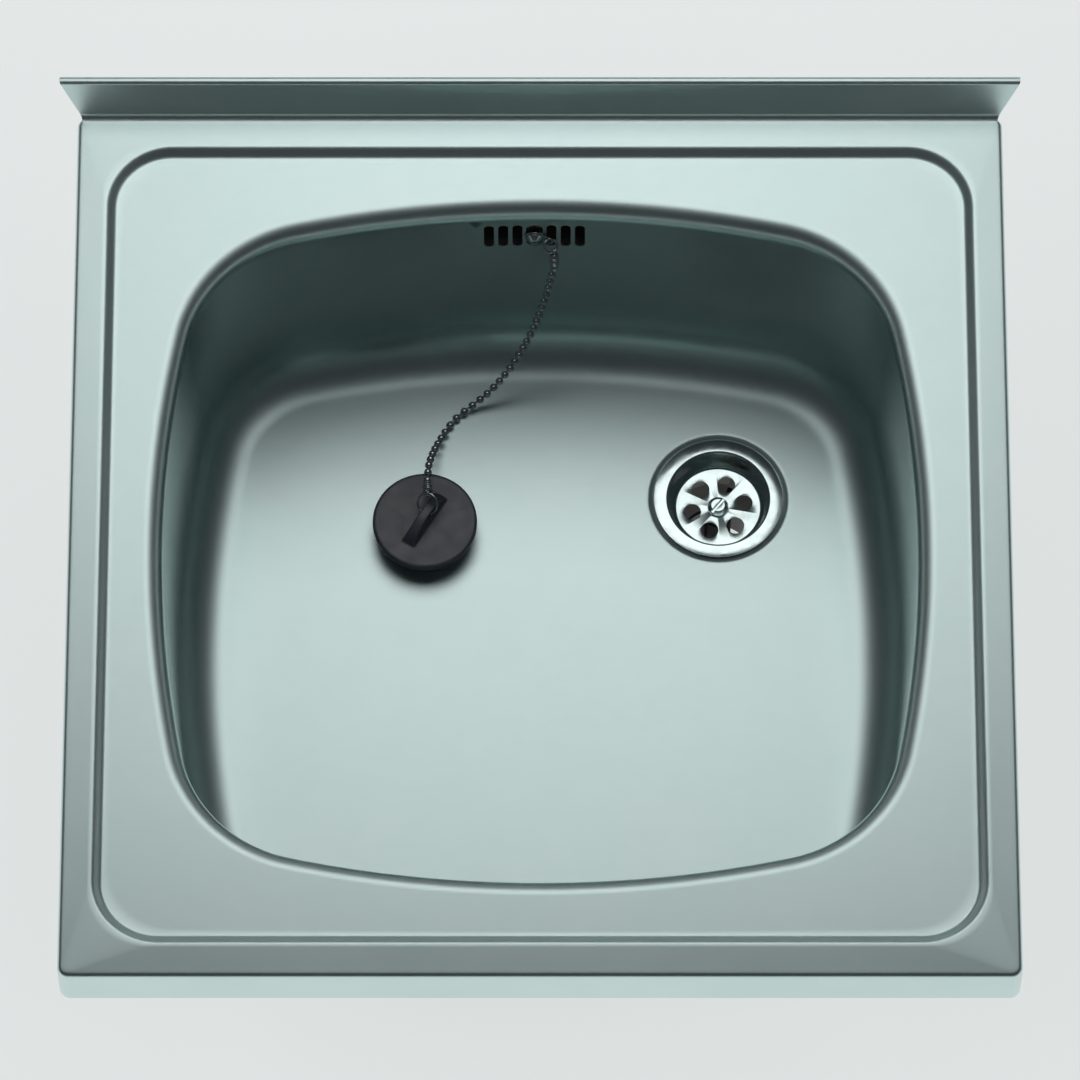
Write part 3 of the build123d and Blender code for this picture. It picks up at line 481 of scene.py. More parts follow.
upper_coupling = barrel("upper_coupling", UPPER_EYE, CHAIN_ROUTE[0], ANCHOR_RING, "sink")
lower_coupling = barrel("lower_coupling", LOWER_EYE, CHAIN_ROUTE[-1], PLUG_RING, "plug")
split_ring("anchor_ring", ANCHOR_RING, "sink")
split_ring("plug_ring", PLUG_RING, "plug")


# The top and the bowl: pressed from stainless sheet 0.8 mm thick, welded together round the
# bowl's rim, ground flush and brushed to one satin finish, so they show as a single skin.
SHEET = 0.8 * MM
DECK_HALF = 250 * MM
DECK_TOP = SHEET
EDGE_RADIUS = 2.5 * MM
DECK_CORNER = 6 * MM
APRON = 30 * MM
BAND_SIDE = 16 * MM
BAND_FRONT = 18 * MM
BAND_CROWN = 0.4 * MM
FRONT_CROWN = 0.7 * MM
CROWN_FROM = 150 * MM
CROWN_RUN = 380 * MM
STEP_WIDTH = 6.5 * MM
STEP_DROP = 3 * MM
STEP_CORNER = 36 * MM
INNER_TOP = DECK_TOP - STEP_DROP
BOWL_HALF_X = 210 * MM
BOWL_HALF_Y = 203 * MM
BOWL_SIDE_RADIUS = 625 * MM
BOWL_CORNER_RADIUS = 85 * MM
FLOOR_TOP = INNER_TOP - 150 * MM
ROLL_RADIUS = 10 * MM
FLOOR_RADIUS = 26 * MM
DRAFT = math.radians(2)
WASTE = Vector((98 * MM, 93 * MM, 0))
WASTE_HOLE = 30 * MM
RECESS_RADIUS = 35.6 * MM
RECESS_SLOPE = 3 * MM
RECESS_TOP = FLOOR_TOP - 1.6 * MM
UPSTAND_FACE = DECK_HALF - SHEET
UPSTAND_TOP = DECK_TOP + 24 * MM
UPSTAND_LEAN = math.radians(20)
UPSTAND_BEND = 4.5 * MM
UPSTAND_FOOT = UPSTAND_BEND * math.tan((math.pi / 2 - UPSTAND_LEAN) / 2)
UPSTAND_REAR = 262.5 * MM
UPSTAND_FLANGE = 12 * MM
UPSTAND_END = 247 * MM
UPSTAND_FLARE = 12 * MM
SIDE_COLUMNS = 32
CORNER_COLUMNS = 40
CUT_COLUMNS = 10
COLUMN_CROWDING = 1.5
OVERFLOW = Vector((-3 * MM, 193 * MM, -28 * MM))
SLOT_WIDTH = 5.4 * MM
SLOT_LENGTH = 23 * MM
SLOT_FIRST = 9.2 * MM
SLOT_PITCH = 7.7 * MM
MIDDLE_SLOT_WIDTH = 9 * MM
SLOT_BAND = 0.6 * MM
SLOT_WINDOW = 36 * MM


def round_about(quarter):
    """Carries a quarter's points, from the right side to the rear, all the way round."""
    rear = np.vstack([quarter, quarter[-2::-1] * (-1, 1)])
    return np.vstack([rear, rear[-2:0:-1] * (1, -1)])


def column_shares():
    """How far along a side its columns stand, crowded towards the corner."""
    return np.linspace(0, 1, SIDE_COLUMNS + 1) ** COLUMN_CROWDING


def cushion(grow):
    """The bowl's outline, moved out by grow: shallow side arcs joined by corner arcs."""
    side = BOWL_SIDE_RADIUS + grow
    corner = BOWL_CORNER_RADIUS + grow
    side_x = BOWL_HALF_X - BOWL_SIDE_RADIUS
    rear_y = BOWL_HALF_Y - BOWL_SIDE_RADIUS
    apart = math.hypot(side_x, rear_y)
    rise = math.sqrt((side - corner) ** 2 - (apart / 2) ** 2)
    corner_x = side_x / 2 - rear_y / apart * rise
    corner_y = rear_y / 2 - side_x / apart * rise
    leave = math.atan2(corner_y, corner_x - side_x)
    join = math.atan2(corner_y - rear_y, corner_x)
    shares = column_shares()
    quarter = []
    for turn in leave * (1 - shares[::-1])[:-1]:
        quarter.append((side_x + side * math.cos(turn), side * math.sin(turn)))
    for turn in np.linspace(leave, join, CORNER_COLUMNS + 1)[:-1]:
        quarter.append((corner_x + corner * math.cos(turn), corner_y + corner * math.sin(turn)))
    for turn in join + (math.pi / 2 - join) * shares:
        quarter.append((side * math.cos(turn), rear_y + side * math.sin(turn)))
    return round_about(np.array(quarter))


def oblong(half_x, half_y, corner):
    """A rounded oblong, with its columns where the bowl's outline has them."""
    shares = column_shares()
    quarter = [(half_x, (half_y - corner) * share) for share in (1 - shares[::-1])[:-1]]
    for turn in np.linspace(0, math.pi / 2, CORNER_COLUMNS + 1)[:-1]:
        quarter.append((half_x - corner + corner * math.cos(turn), half_y - corner + corner * math.sin(turn)))
    quarter += [((half_x - corner) * (1 - share), half_y) for share in shares]
    return round_about(np.array(quarter))


def at_height(outline, height):
    """An outline's points, lifted to a height."""
    return np.column_stack([outline, np.full(len(outline), height)])


def eased(share):
    """A share from 0 to 1 that starts and ends gently."""
    return share * share * (3 - 2 * share)


def wall_section():
    """The bowl's wall from the floor's edge to the rolled rim, as (moved out, height) points."""
    roll_height = INNER_TOP - ROLL_RADIUS
    floor_height = FLOOR_TOP + FLOOR_RADIUS
    bends = ROLL_RADIUS + FLOOR_RADIUS
    drop = roll_height - floor_height + bends * math.sin(DRAFT)
    floor_x = -bends * math.cos(DRAFT) - drop * math.tan(DRAFT)
    section = []
    for turn in np.linspace(0, math.pi / 2 - DRAFT, 21):
        height = floor_height - FLOOR_RADIUS * math.cos(turn)
        section.append((floor_x + FLOOR_RADIUS * math.sin(turn), height))
    foot = section[-1]
    head = (-ROLL_RADIUS * math.cos(DRAFT), roll_height + ROLL_RADIUS * math.sin(DRAFT))
    for share in np.linspace(0, 1, 13)[1:-1]:
        section.append((foot[0] + (head[0] - foot[0]) * share, foot[1] + (head[1] - foot[1]) * share))
    for turn in np.linspace(DRAFT, math.pi / 2, 15):
        section.append((-ROLL_RADIUS * math.cos(turn), roll_height + ROLL_RADIUS * math.sin(turn)))
    return section


def crown(outline):
    """How far the rim band swells at its inner edge: more towards the front, where it slopes more."""
    return BAND_CROWN + FRONT_CROWN * np.clip((CROWN_FROM - outline[:, 1]) / CROWN_RUN, 0, 1)


def skin_rings():
    """The rings of the skin, from the waste hole outwards to where the edges bend down."""
    section = wall_section()
    floor_edge = cushion(section[0][0])
    spokes = floor_edge - np.array(WASTE[:2])
    spokes /= np.linalg.norm(spokes, axis=1)[:, None]

    def about_waste(radius):
        return np.array(WASTE[:2]) + spokes * radius

    rings = [at_height(about_waste(WASTE_HOLE), RECESS_TOP)]
    rings.append(at_height(about_waste(RECESS_RADIUS - 2 * MM), RECESS_TOP))
    for share in np.linspace(0, 1, 9):
        radius = RECESS_RADIUS - 0.5 * MM + (RECESS_SLOPE + 1 * MM) * share
        rings.append(at_height(about_waste(radius), RECESS_TOP + (FLOOR_TOP - RECESS_TOP) * eased(share)))
    near_waste = about_waste(RECESS_RADIUS + RECESS_SLOPE + 2 * MM)
    for share in (0, 0.08, 0.2, 0.4, 0.6, 0.8, 0.92):
        rings.append(at_height(near_waste + (floor_edge - near_waste) * share, FLOOR_TOP))
    for grow, height in section:
        rings.append(at_height(cushion(grow), height))
    near_bowl = cushion(1 * MM)
    inner = oblong(
        DECK_HALF - BAND_SIDE - STEP_WIDTH, DECK_HALF - BAND_FRONT - STEP_WIDTH, STEP_CORNER - STEP_WIDTH
    )
    for share in (0, 0.1, 0.35, 0.65, 0.9):
        rings.append(at_height(near_bowl + (inner - near_bowl) * share, INNER_TOP))
    for share in np.linspace(0, 1, 11):
        out = STEP_WIDTH * (1 - share)
        outline = oblong(DECK_HALF - BAND_SIDE - out, DECK_HALF - BAND_FRONT - out, STEP_CORNER - out)
        rings.append(at_height(outline, INNER_TOP + (STEP_DROP + crown(outline)) * eased(share)))
    band = oblong(DECK_HALF - BAND_SIDE, DECK_HALF - BAND_FRONT, STEP_CORNER)
    edge = tray_edge(EDGE_RADIUS)
    for share in (0.12, 0.4, 0.7, 0.92, 1):
        rings.append(at_height(band + (edge - band) * share, DECK_TOP + crown(band) * (1 - share)))
    return rings


REAR_MIDDLE = 2 * SIDE_COLUMNS + CORNER_COLUMNS


def rear_columns():
    """The columns that run on up the upstand, in order from right to left."""
    return np.arange(SIDE_COLUMNS + CORNER_COLUMNS, REAR_MIDDLE + SIDE_COLUMNS + 1)


def tray_edge(out):
    """An outline this far inside the top's edges, cut off at the rear where the upstand starts."""
    edge = oblong(DECK_HALF - out, DECK_HALF - out, DECK_CORNER - out)
    centre = DECK_HALF - DECK_CORNER
    radius = DECK_CORNER - out
    cut = math.acos((UPSTAND_END - centre) / radius)
    foot = UPSTAND_FACE - UPSTAND_FOOT
    arc_columns = CORNER_COLUMNS - CUT_COLUMNS
    for step in range(CORNER_COLUMNS):
        turn = cut * min(step / arc_columns, 1)
        x = centre + radius * math.cos(turn)
        y = centre + radius * math.sin(turn)
        y += (foot - y) * max(step - arc_columns, 0) / CUT_COLUMNS
        edge[SIDE_COLUMNS + step] = (x, y)
        edge[2 * REAR_MIDDLE - SIDE_COLUMNS - step] = (-x, y)
    rear = rear_columns()
    edge[rear, 0] *= UPSTAND_END / edge[rear[0], 0]
    edge[rear, 1] = foot
    return edge


def apron_rings():
    """The rings over the edge bend and down the turned-down edges."""
    rings = []
    for turn in np.linspace(0, math.pi / 2, 8)[1:]:
        out = EDGE_RADIUS * (1 - math.sin(turn))
        rings.append(at_height(tray_edge(out), DECK_TOP - EDGE_RADIUS * (1 - math.cos(turn))))
    for height in (DECK_TOP - APRON / 2, DECK_TOP - APRON):
        rings.append(at_height(tray_edge(0), height))
    return rings


def upstand_rings(edge_ring):
    """The rings up the upstand: foot curve, leaning face, top and rear flange, wider as they rise."""
    back = UPSTAND_FACE + (UPSTAND_TOP - DECK_TOP) * math.tan(UPSTAND_LEAN)
    corners = [
        (UPSTAND_FACE - 2 * UPSTAND_FOOT, DECK_TOP),
        (UPSTAND_FACE, DECK_TOP),
        (back, UPSTAND_TOP),
        (UPSTAND_REAR, UPSTAND_TOP),
        (UPSTAND_REAR, UPSTAND_TOP - UPSTAND_FLANGE),
    ]
    section = rounded(corners, [UPSTAND_BEND, EDGE_RADIUS, EDGE_RADIUS], 8)[2:]
    across = edge_ring[rear_columns(), 0]
    rings = []
    for depth, height in section:
        half = UPSTAND_END + UPSTAND_FLARE * height / UPSTAND_TOP
        rings.append(np.column_stack([
            across * half / across[0],
            np.full(len(across), depth),
            np.full(len(across), height),
        ]))
    return rings


def slots():
    """The overflow's slots, three each side of the wider one for the screw: (across, width)."""
    sides = [side * (SLOT_FIRST + i * SLOT_PITCH) for side in (-1, 1) for i in range(3)]
    return [(0, MIDDLE_SLOT_WIDTH)] + [(across, SLOT_WIDTH) for across in sides]


def slot_outline(across, width, out):
    """A slot's outline on the rear wall, this far outside its edge, as (x, height) points."""
    straight = (SLOT_LENGTH - width) / 2
    outline = []
    for end, first in ((1, 0), (-1, 180)):
        for i in range(13):
            turn = math.radians(first + 15 * i)
            x = OVERFLOW.x + across + (width / 2 + out) * math.cos(turn)
            outline.append((x, OVERFLOW.z + end * straight + (width / 2 + out) * math.sin(turn)))
    return outline


def rear_wall(x, height):
    """The depth of the rear wall's straight part at a point."""
    grow = -ROLL_RADIUS * math.cos(DRAFT)
    grow += (height - INNER_TOP + ROLL_RADIUS * (1 - math.sin(DRAFT))) * math.tan(DRAFT)
    side = BOWL_SIDE_RADIUS + grow
    return BOWL_HALF_Y - BOWL_SIDE_RADIUS + math.sqrt(side * side - x * x)


def slotted_panel(made, rows, columns):
    """Fills a window of the rear wall with faces that leave the slots open."""
    grid = [[row[i] for i in columns] for row in rows]
    border = grid[0] + [row[-1] for row in grid[1:]] + grid[-1][-2::-1] + [row[0] for row in grid[-2:0:-1]]
    verts = border + [vert for row in grid[1:-1] for vert in row[1:-1]]
    edges = [(i, (i + 1) % len(border)) for i in range(len(border))]
    openings = [slot_outline(across, width, 0) for across, width in slots()]
    for across, width in slots():
        for out in (0, SLOT_BAND):
            first = len(verts)
            outline = slot_outline(across, width, out)
            verts += [made.verts.new((x, rear_wall(x, z), z)) for x, z in outline]
            edges += [(first + i, first + (i + 1) % len(outline)) for i in range(len(outline))]
    free = []
    for index, vert in enumerate(verts[:len(border) + (len(grid) - 2) * (len(columns) - 2)]):
        near = any(
            abs(vert.co.x - OVERFLOW.x - across) < width / 2 + 3 * SLOT_BAND
            and abs(vert.co.z - OVERFLOW.z) < SLOT_LENGTH / 2 + 3 * SLOT_BAND
            for across, width in slots()
        )
        if near and index >= len(border):
            free.append(index)
    kept = [i for i in range(len(verts)) if i not in free]
    renamed = {old: new for new, old in enumerate(kept)}
    flat = [Vector((verts[i].co.x, verts[i].co.z)) for i in kept]
    edges = [(renamed[a], renamed[b]) for a, b in edges]
    _, _, triangles, origins, _, _ = geometry.delaunay_2d_cdt(flat, edges, [], 1, 1e-7, True)
    source = [kept[origin[0]] for origin in origins]
    for triangle in triangles:
        middle = sum((flat[renamed[source[i]]] for i in triangle), Vector((0, 0))) / 3
        if not any(is_inside(middle, outline) for outline in openings):
            made.faces.new([verts[source[i]] for i in triangle])
    bmesh.ops.delete(made, geom=[verts[i] for i in free], context="VERTS")


def is_inside(point, outline):
    """Whether a point lies inside an outline that bulges nowhere inwards."""
    return all(
        (b[0] - a[0]) * (point[1] - a[1]) - (b[1] - a[1]) * (point[0] - a[0]) > 0
        for a, b in zip(outline, outline[1:] + outline[:1])
    )


def skin():
    """The visible face of the sheet as one open surface."""
    made = bmesh.new()
    rings = skin_rings()
    rows = [[made.verts.new(point) for point in ring] for ring in rings]
    count = len(rows[0])
    top = min(
        row for row, ring in enumerate(rings)
        if ring[REAR_MIDDLE][2] > OVERFLOW.z + SLOT_LENGTH / 2 + 2 * SLOT_BAND
    )
    bottom = max(
        row for row, ring in enumerate(rings[:top])
        if ring[REAR_MIDDLE][2] < OVERFLOW.z - SLOT_LENGTH / 2 - 4 * MM
    )
    window = [i for i in rear_columns() if abs(rings[top][i][0] - OVERFLOW.x) < SLOT_WINDOW]
    for row, (inner, outer) in enumerate(zip(rows, rows[1:])):
        for i in range(count):
            j = (i + 1) % count
            if not (bottom <= row < top and i in window[:-1]):
                made.faces.new([inner[i], outer[i], outer[j], inner[j]])
    slotted_panel(made, rows[bottom:top + 1], window)
    rear = list(rear_columns())
    others = [i % count for i in range(rear[-1] + CUT_COLUMNS, rear[0] + count - CUT_COLUMNS + 1)]
    before = rows[-1]
    for ring in apron_rings():
        row = {i: made.verts.new(ring[i]) for i in others}
        for i, j in zip(others, others[1:]):
            made.faces.new([before[i], row[i], row[j], before[j]])
        before = row
    before = [rows[-1][i] for i in rear]
    for ring in upstand_rings(rings[-1]):
        row = [made.verts.new(point) for point in ring]
        for i in range(len(rear) - 1):
            made.faces.new([before[i], row[i], row[i + 1], before[i + 1]])
        before = row
    return made


def satin_finish():
    """Stainless sheet brushed to a fine satin, with faint clouds left by polishing and wiping."""
    finish = Finish("satin_steel", Metallic=1)
    grain = finish.noise(0.5 * MM, detail=3, stretch=(0.06, 1, 1))
    clouds = finish.noise(55 * MM, detail=3)
    share = finish.spread(clouds, 0.35, 0.65, 0, 1)
    finish.set(Base_Color=finish.start.colours(share, (0.645, 0.79, 0.775, 1), (0.68, 0.82, 0.805, 1)))
    facing_way = finish.start.node("ShaderNodeNewGeometry", output=1)
    upright = finish.start.node("ShaderNodeSeparateXYZ", inputs={"Vector": facing_way}, output=2)
    steep = finish.spread(finish.start.maths("ABSOLUTE", upright), 0.4, 0.92, 1, 0)
    finish.set(Roughness=0.375 + grain * 0.07 + clouds * 0.03 - steep * 0.12)
    finish.bump(grain, 0.004 * MM)
    return finish.material


def apply_modifier(piece, kind, **settings):
    """Adds one modifier and makes its result the piece's own mesh."""
    modifier = piece.modifiers.new(kind.lower(), kind)
    for name, value in settings.items():
        setattr(modifier, name, value)
    bpy.context.view_layer.update()
    seen = piece.evaluated_get(bpy.context.evaluated_depsgraph_get())
    mesh = bpy.data.meshes.new_from_object(seen)
    piece.modifiers.clear()
    piece.data = mesh
    return piece


def loose(name, made):
    """Mesh work as an object that only shapes another and is then removed."""
    bmesh.ops.recalc_face_normals(made, faces=made.faces[:])
    mesh = bpy.data.meshes.new(name)
    made.to_mesh(mesh)
    made.free()
    tool = bpy.data.objects.new(name, mesh)
    scene.collection.objects.link(tool)
    return tool


def combine(piece, made, operation):
    """Cuts mesh work out of a piece, or joins it on."""
    tool = loose("tool", made)
    apply_modifier(piece, "BOOLEAN", operation=operation, object=tool, solver="MANIFOLD")
    bpy.data.objects.remove(tool)
    return piece


def crisp(piece):
    """Soft shading again after a cut, with crisp edges where faces meet at an angle."""
    made = bmesh.new()
    made.from_mesh(piece.data)
    for face in made.faces:
        face.smooth = True
    for edge in made.edges:
        edge.smooth = edge.calc_face_angle(0) < SMOOTH_BELOW
    made.to_mesh(piece.data)
    made.free()
    return piece


def pressed_steel():
    """The skin given its thickness and shaded afresh, with crisp edges where faces meet at an angle."""
    piece = fit("pressed_steel", skin(), satin_finish(), "sink", ["sink_top", "sink_bowl"])
    if piece.data.polygons[0].normal.z < 0:
        piece.data.flip_normals()
    apply_modifier(piece, "SOLIDIFY", thickness=SHEET, offset=-1, use_even_offset=True)
    return crisp(piece)


pressed_steel()


# The strainer: a pressed cup of bright stainless with a flat flange, six holes in its plate,
# and a slotted screw in the middle that draws it down onto the waste body.
FLANGE_RADIUS = 35.25 * MM
MOUTH_RADIUS = 27.75 * MM
PLATE_RADIUS = 24.2 * MM
CUP_TOP = RECESS_TOP + 1.0 * MM + SHEET
PLATE_TOP = CUP_TOP - 12 * MM
PLATE_BORE = 3.3 * MM
PLATE_HOLE_RADIUS = 4.9 * MM
PLATE_HOLE_CIRCLE = 14.5 * MM
PLATE_HOLE_TURN = 11
HEAD_RADIUS = 5.7 * MM
HEAD_TOP_RADIUS = 3.75 * MM
HEAD_HEIGHT = 3.2 * MM
HEAD_RIM = 1.2 * MM
SHANK_RADIUS = 3 * MM
SHANK_LENGTH = 24 * MM


def bright_finish():
    """Stainless polished brighter than the sink, with random patches of wear."""
    finish = Finish("bright_steel", Metallic=1)
    wear = finish.noise(6 * MM, detail=4)
    finish.set(Base_Color=finish.start.colours(wear, (0.66, 0.77, 0.76, 1), (0.56, 0.66, 0.65, 1)))
    finish.set(Roughness=finish.spread(wear, 0.3, 0.7, 0.13, 0.24))
    finish.bump(finish.noise(0.6 * MM), 0.005 * MM)
    return finish.material


BRIGHT = bright_finish()
BEVEL_ABOVE = math.radians(50)


def eased_edges(piece, width):
    """Bevels a cut piece's sharp edges and shades it afresh."""
    apply_modifier(piece, "BEVEL", width=width, segments=2, limit_method="ANGLE", angle_limit=BEVEL_ABOVE)
    return crisp(piece)


def strainer():
    """The cup, turned in one line along its upper face and back under it, then drilled."""
    upper = rounded(
        [
            (FLANGE_RADIUS, CUP_TOP),
            (MOUTH_RADIUS, CUP_TOP),
            (PLATE_RADIUS, PLATE_TOP),
            (PLATE_BORE, PLATE_TOP),
        ],
        [1.6 * MM, 2.0 * MM],
        10,
    )
    lean = math.atan2(MOUTH_RADIUS - PLATE_RADIUS, CUP_TOP - PLATE_TOP)
    out = SHEET / math.cos(lean)
    lower = rounded(
        [
            (PLATE_BORE, PLATE_TOP - SHEET),
            (PLATE_RADIUS + out - SHEET * math.tan(lean), PLATE_TOP - SHEET),
            (MOUTH_RADIUS + out - SHEET * math.tan(lean), CUP_TOP - SHEET),
            (FLANGE_RADIUS, CUP_TOP - SHEET),
        ],
        [2.6 * MM, 1.0 * MM],
        10,
    )
    made = bmesh.new()
    place = Matrix.Translation(WASTE)
    add_turned(made, upper + lower, place, 144, closed=True)
    piece = fit("strainer_cup", made, BRIGHT, "sink", ["strainer_cup"])
    drills = bmesh.new()
    for i in range(6):
        turn = math.radians(PLATE_HOLE_TURN + 60 * i)
        offset = Vector((math.cos(turn), math.sin(turn), 0)) * PLATE_HOLE_CIRCLE
        drill = Matrix.Translation(WASTE + offset + Vector((0, 0, PLATE_TOP)))
        bmesh.ops.create_cone(
            drills, cap_ends=True, segments=48,
            radius1=PLATE_HOLE_RADIUS, radius2=PLATE_HOLE_RADIUS, depth=4 * MM, matrix=drill,
        )
    combine(piece, drills, "DIFFERENCE")
    return eased_edges(piece, 0.2 * MM)


def slotted_screw(name, place, head_radius, rim, top_radius, height, shank_radius, shank, slot_width, turn):
    """A turned screw with a bevelled head and a slot sawn across it."""
    corners = [
        (0, height),
        (top_radius, height),
        (head_radius, rim),
        (head_radius, 0),
        (shank_radius, 0),
        (shank_radius, -shank),
        (0, -shank),
    ]
    made = bmesh.new()
    add_turned(made, rounded(corners, [0.4 * MM, 0.3 * MM, 0.2 * MM, 0, 0.4 * MM], 4), place, 64)
    piece = fit(name, made, BRIGHT, "sink", [name])
    saw = bmesh.new()
    size = Matrix.Diagonal((3 * head_radius, slot_width, height, 1))
    lifted = Matrix.Translation((0, 0, height * 1.08))
    turned = place @ Matrix.Rotation(math.radians(turn), 4, "Z")
    bmesh.ops.create_cube(saw, size=1, matrix=turned @ lifted @ size)
    combine(piece, saw, "DIFFERENCE")
    return eased_edges(piece, 0.12 * MM)


strainer()
slotted_screw(
    "strainer_screw", Matrix.Translation(WASTE + Vector((0, 0, PLATE_TOP))),
    HEAD_RADIUS, HEAD_RIM, HEAD_TOP_RADIUS, HEAD_HEIGHT, SHANK_RADIUS, SHANK_LENGTH, 1.6 * MM, 50,
)


# The overflow's screw, oval-headed and slotted, and the chain's eyelet under it: a washer
# stamped from plated sheet, with a small holed tab bent out for the chain's ring.
EYELET_FRONT = Vector((OVERFLOW.x, 191.3 * MM, OVERFLOW.z))
EYELET_THICKNESS = 0.8 * MM
EYELET_RADIUS = 5.5 * MM
EYELET_BORE = 2.8 * MM
TAB_RADIUS = 2.9 * MM
TAB_START = 5.2 * MM
TAB_LENGTH = 3.2 * MM
TAB_BEND = math.radians(30)
TAB_SLOPE = math.radians(-9)
TAB_HOLE = 1.6 * MM


def forwards(origin):
    """The place at an origin that looks forwards out of the rear wall, with its X level."""
    return Matrix.Translation(origin) @ Matrix.Rotation(math.radians(90), 4, "X")


slotted_screw(
    "overflow_screw", forwards(EYELET_FRONT), 4.8 * MM, 0.9 * MM, 2.4 * MM, 3.4 * MM,
    2.5 * MM, 20 * MM, 1.2 * MM, 15,
)


def eyelet():
    """The washer and its tab, stamped flat and the tab then bent out."""
    place = forwards(EYELET_FRONT + Vector((0, EYELET_THICKNESS, 0))) @ Matrix.Rotation(TAB_SLOPE, 4, "Z")
    bent = place @ Matrix.Translation((TAB_START, 0, 0)) @ Matrix.Rotation(-TAB_BEND, 4, "Y")
    made = bmesh.new()
    washer = [
        (EYELET_BORE, 0),
        (EYELET_RADIUS, 0),
        (EYELET_RADIUS, EYELET_THICKNESS),
        (EYELET_BORE, EYELET_THICKNESS),
    ]
    add_turned(made, washer, place, 64, closed=True)
    tab = Matrix.Translation((TAB_LENGTH, 0, 0))
    loop = [
        (TAB_HOLE, 0), (TAB_RADIUS, 0), (TAB_RADIUS, EYELET_THICKNESS), (TAB_HOLE, EYELET_THICKNESS)
    ]
    add_turned(made, loop, bent @ tab, 48, closed=True)
    neck = Matrix.Translation((TAB_LENGTH * 0.22, 0, EYELET_THICKNESS / 2))
    size = Matrix.Diagonal((TAB_LENGTH * 0.75, 1.5 * TAB_RADIUS, EYELET_THICKNESS, 1))
    bmesh.ops.create_cube(made, size=1, matrix=bent @ neck @ size)
    piece = fit("chain_eyelet", made, PLATED, "sink", ["chain_eyelet"])
    return eased_edges(piece, 0.1 * MM)


eyelet()


# The plug: moulded in one piece of black rubber, hollow under its rim, with a lug across the
# top that its ring goes through. It stands on the floor left of the waste.
PLUG = Vector((-63 * MM, 73 * MM, 0))
PLUG_TOP = FLOOR_TOP + 15 * MM
LUG_LENGTH = 34 * MM
LUG_HEIGHT = 9 * MM
LUG_FOOT = 7 * MM
LUG_HEAD = 5 * MM
LUG_TURN = math.radians(58)
LUG_HOLE_RADIUS = 2.7 * MM
LUG_HOLE = Vector((1.8 * MM, 0, 5 * MM))
MOULD_GRID = 0.5 * MM


def rubber_finish():
    """Black moulded rubber with a faint bloom, a little greyer where it is handled."""
    finish = Finish("plug_rubber", Metallic=0, Specular_IOR_Level=0.6)
    bloom = finish.noise(9 * MM, detail=4)
    finish.set(Base_Color=finish.start.colours(bloom, (0.012, 0.014, 0.018, 1), (0.035, 0.040, 0.050, 1)))
    finish.set(Roughness=finish.spread(bloom, 0.3, 0.7, 0.34, 0.48))
    finish.bump(finish.noise(0.8 * MM, detail=3), 0.03 * MM)
    return finish.material


def lug():
    """The lug: an arch that thins towards its top, with the hole for the ring."""
    made = bmesh.new()
    half = LUG_LENGTH / 2
    sunk = 1 * MM
    radius = (half ** 2 + LUG_HEIGHT ** 2) / (2 * LUG_HEIGHT)
    reach = math.asin(half / radius)
    outline = [(half, -sunk)]
    for turn in np.linspace(reach, -reach, 33):
        outline.append((radius * math.sin(turn), radius * math.cos(turn) - radius + LUG_HEIGHT))
    outline.append((-half, -sunk))
    sides = []
    for side in (-1, 1):
        row = []
        for x, height in outline:
            thickness = LUG_FOOT + (LUG_HEAD - LUG_FOOT) * max(height, 0) / LUG_HEIGHT
            row.append(made.verts.new((x, side * thickness / 2, height)))
        sides.append(row)
    made.faces.new(sides[0])
    made.faces.new(sides[1])
    for i in range(len(outline)):
        j = (i + 1) % len(outline)
        made.faces.new([sides[0][i], sides[0][j], sides[1][j], sides[1][i]])
    return made


def rubber_plug():
    """The turned body and its lug joined, the hole cut, and all edges softened as moulding does."""
    corners = [
        (0, FLOOR_TOP + 5 * MM),
        (19 * MM, FLOOR_TOP + 5 * MM),
        (19 * MM, FLOOR_TOP),
        (24.4 * MM, FLOOR_TOP),
        (26.6 * MM, PLUG_TOP - 5 * MM),
        (28.6 * MM, PLUG_TOP - 5 * MM),
        (28.6 * MM, PLUG_TOP),
        (0, PLUG_TOP),
    ]
    radii = [1.5 * MM, 0.6 * MM, 0.6 * MM, 0.8 * MM, 1.0 * MM, 1.6 * MM]
    place = Matrix.Translation(PLUG)
    made = bmesh.new()
    add_turned(made, rounded(corners, radii), place, 128)
    piece = fit("rubber_plug", made, rubber_finish(), "plug", ["rubber_plug"])
    turned = place @ Matrix.Translation((0, 0, PLUG_TOP)) @ Matrix.Rotation(LUG_TURN, 4, "Z")
    arch = lug()
    arch.transform(turned)
    combine(piece, arch, "UNION")
    drill = bmesh.new()
    across = Matrix.Translation(LUG_HOLE) @ Matrix.Rotation(math.radians(90), 4, "X")
    bmesh.ops.create_cone(
        drill, cap_ends=True, segments=40, radius1=LUG_HOLE_RADIUS, radius2=LUG_HOLE_RADIUS,
        depth=3 * LUG_FOOT, matrix=turned @ across,
    )
    combine(piece, drill, "DIFFERENCE")
    apply_modifier(piece, "REMESH", mode="VOXEL", voxel_size=MOULD_GRID, use_smooth_shade=True)
    apply_modifier(piece, "SMOOTH", factor=0.5, iterations=4)
    piece.data.shade_smooth()
    return piece


rubber_plug()


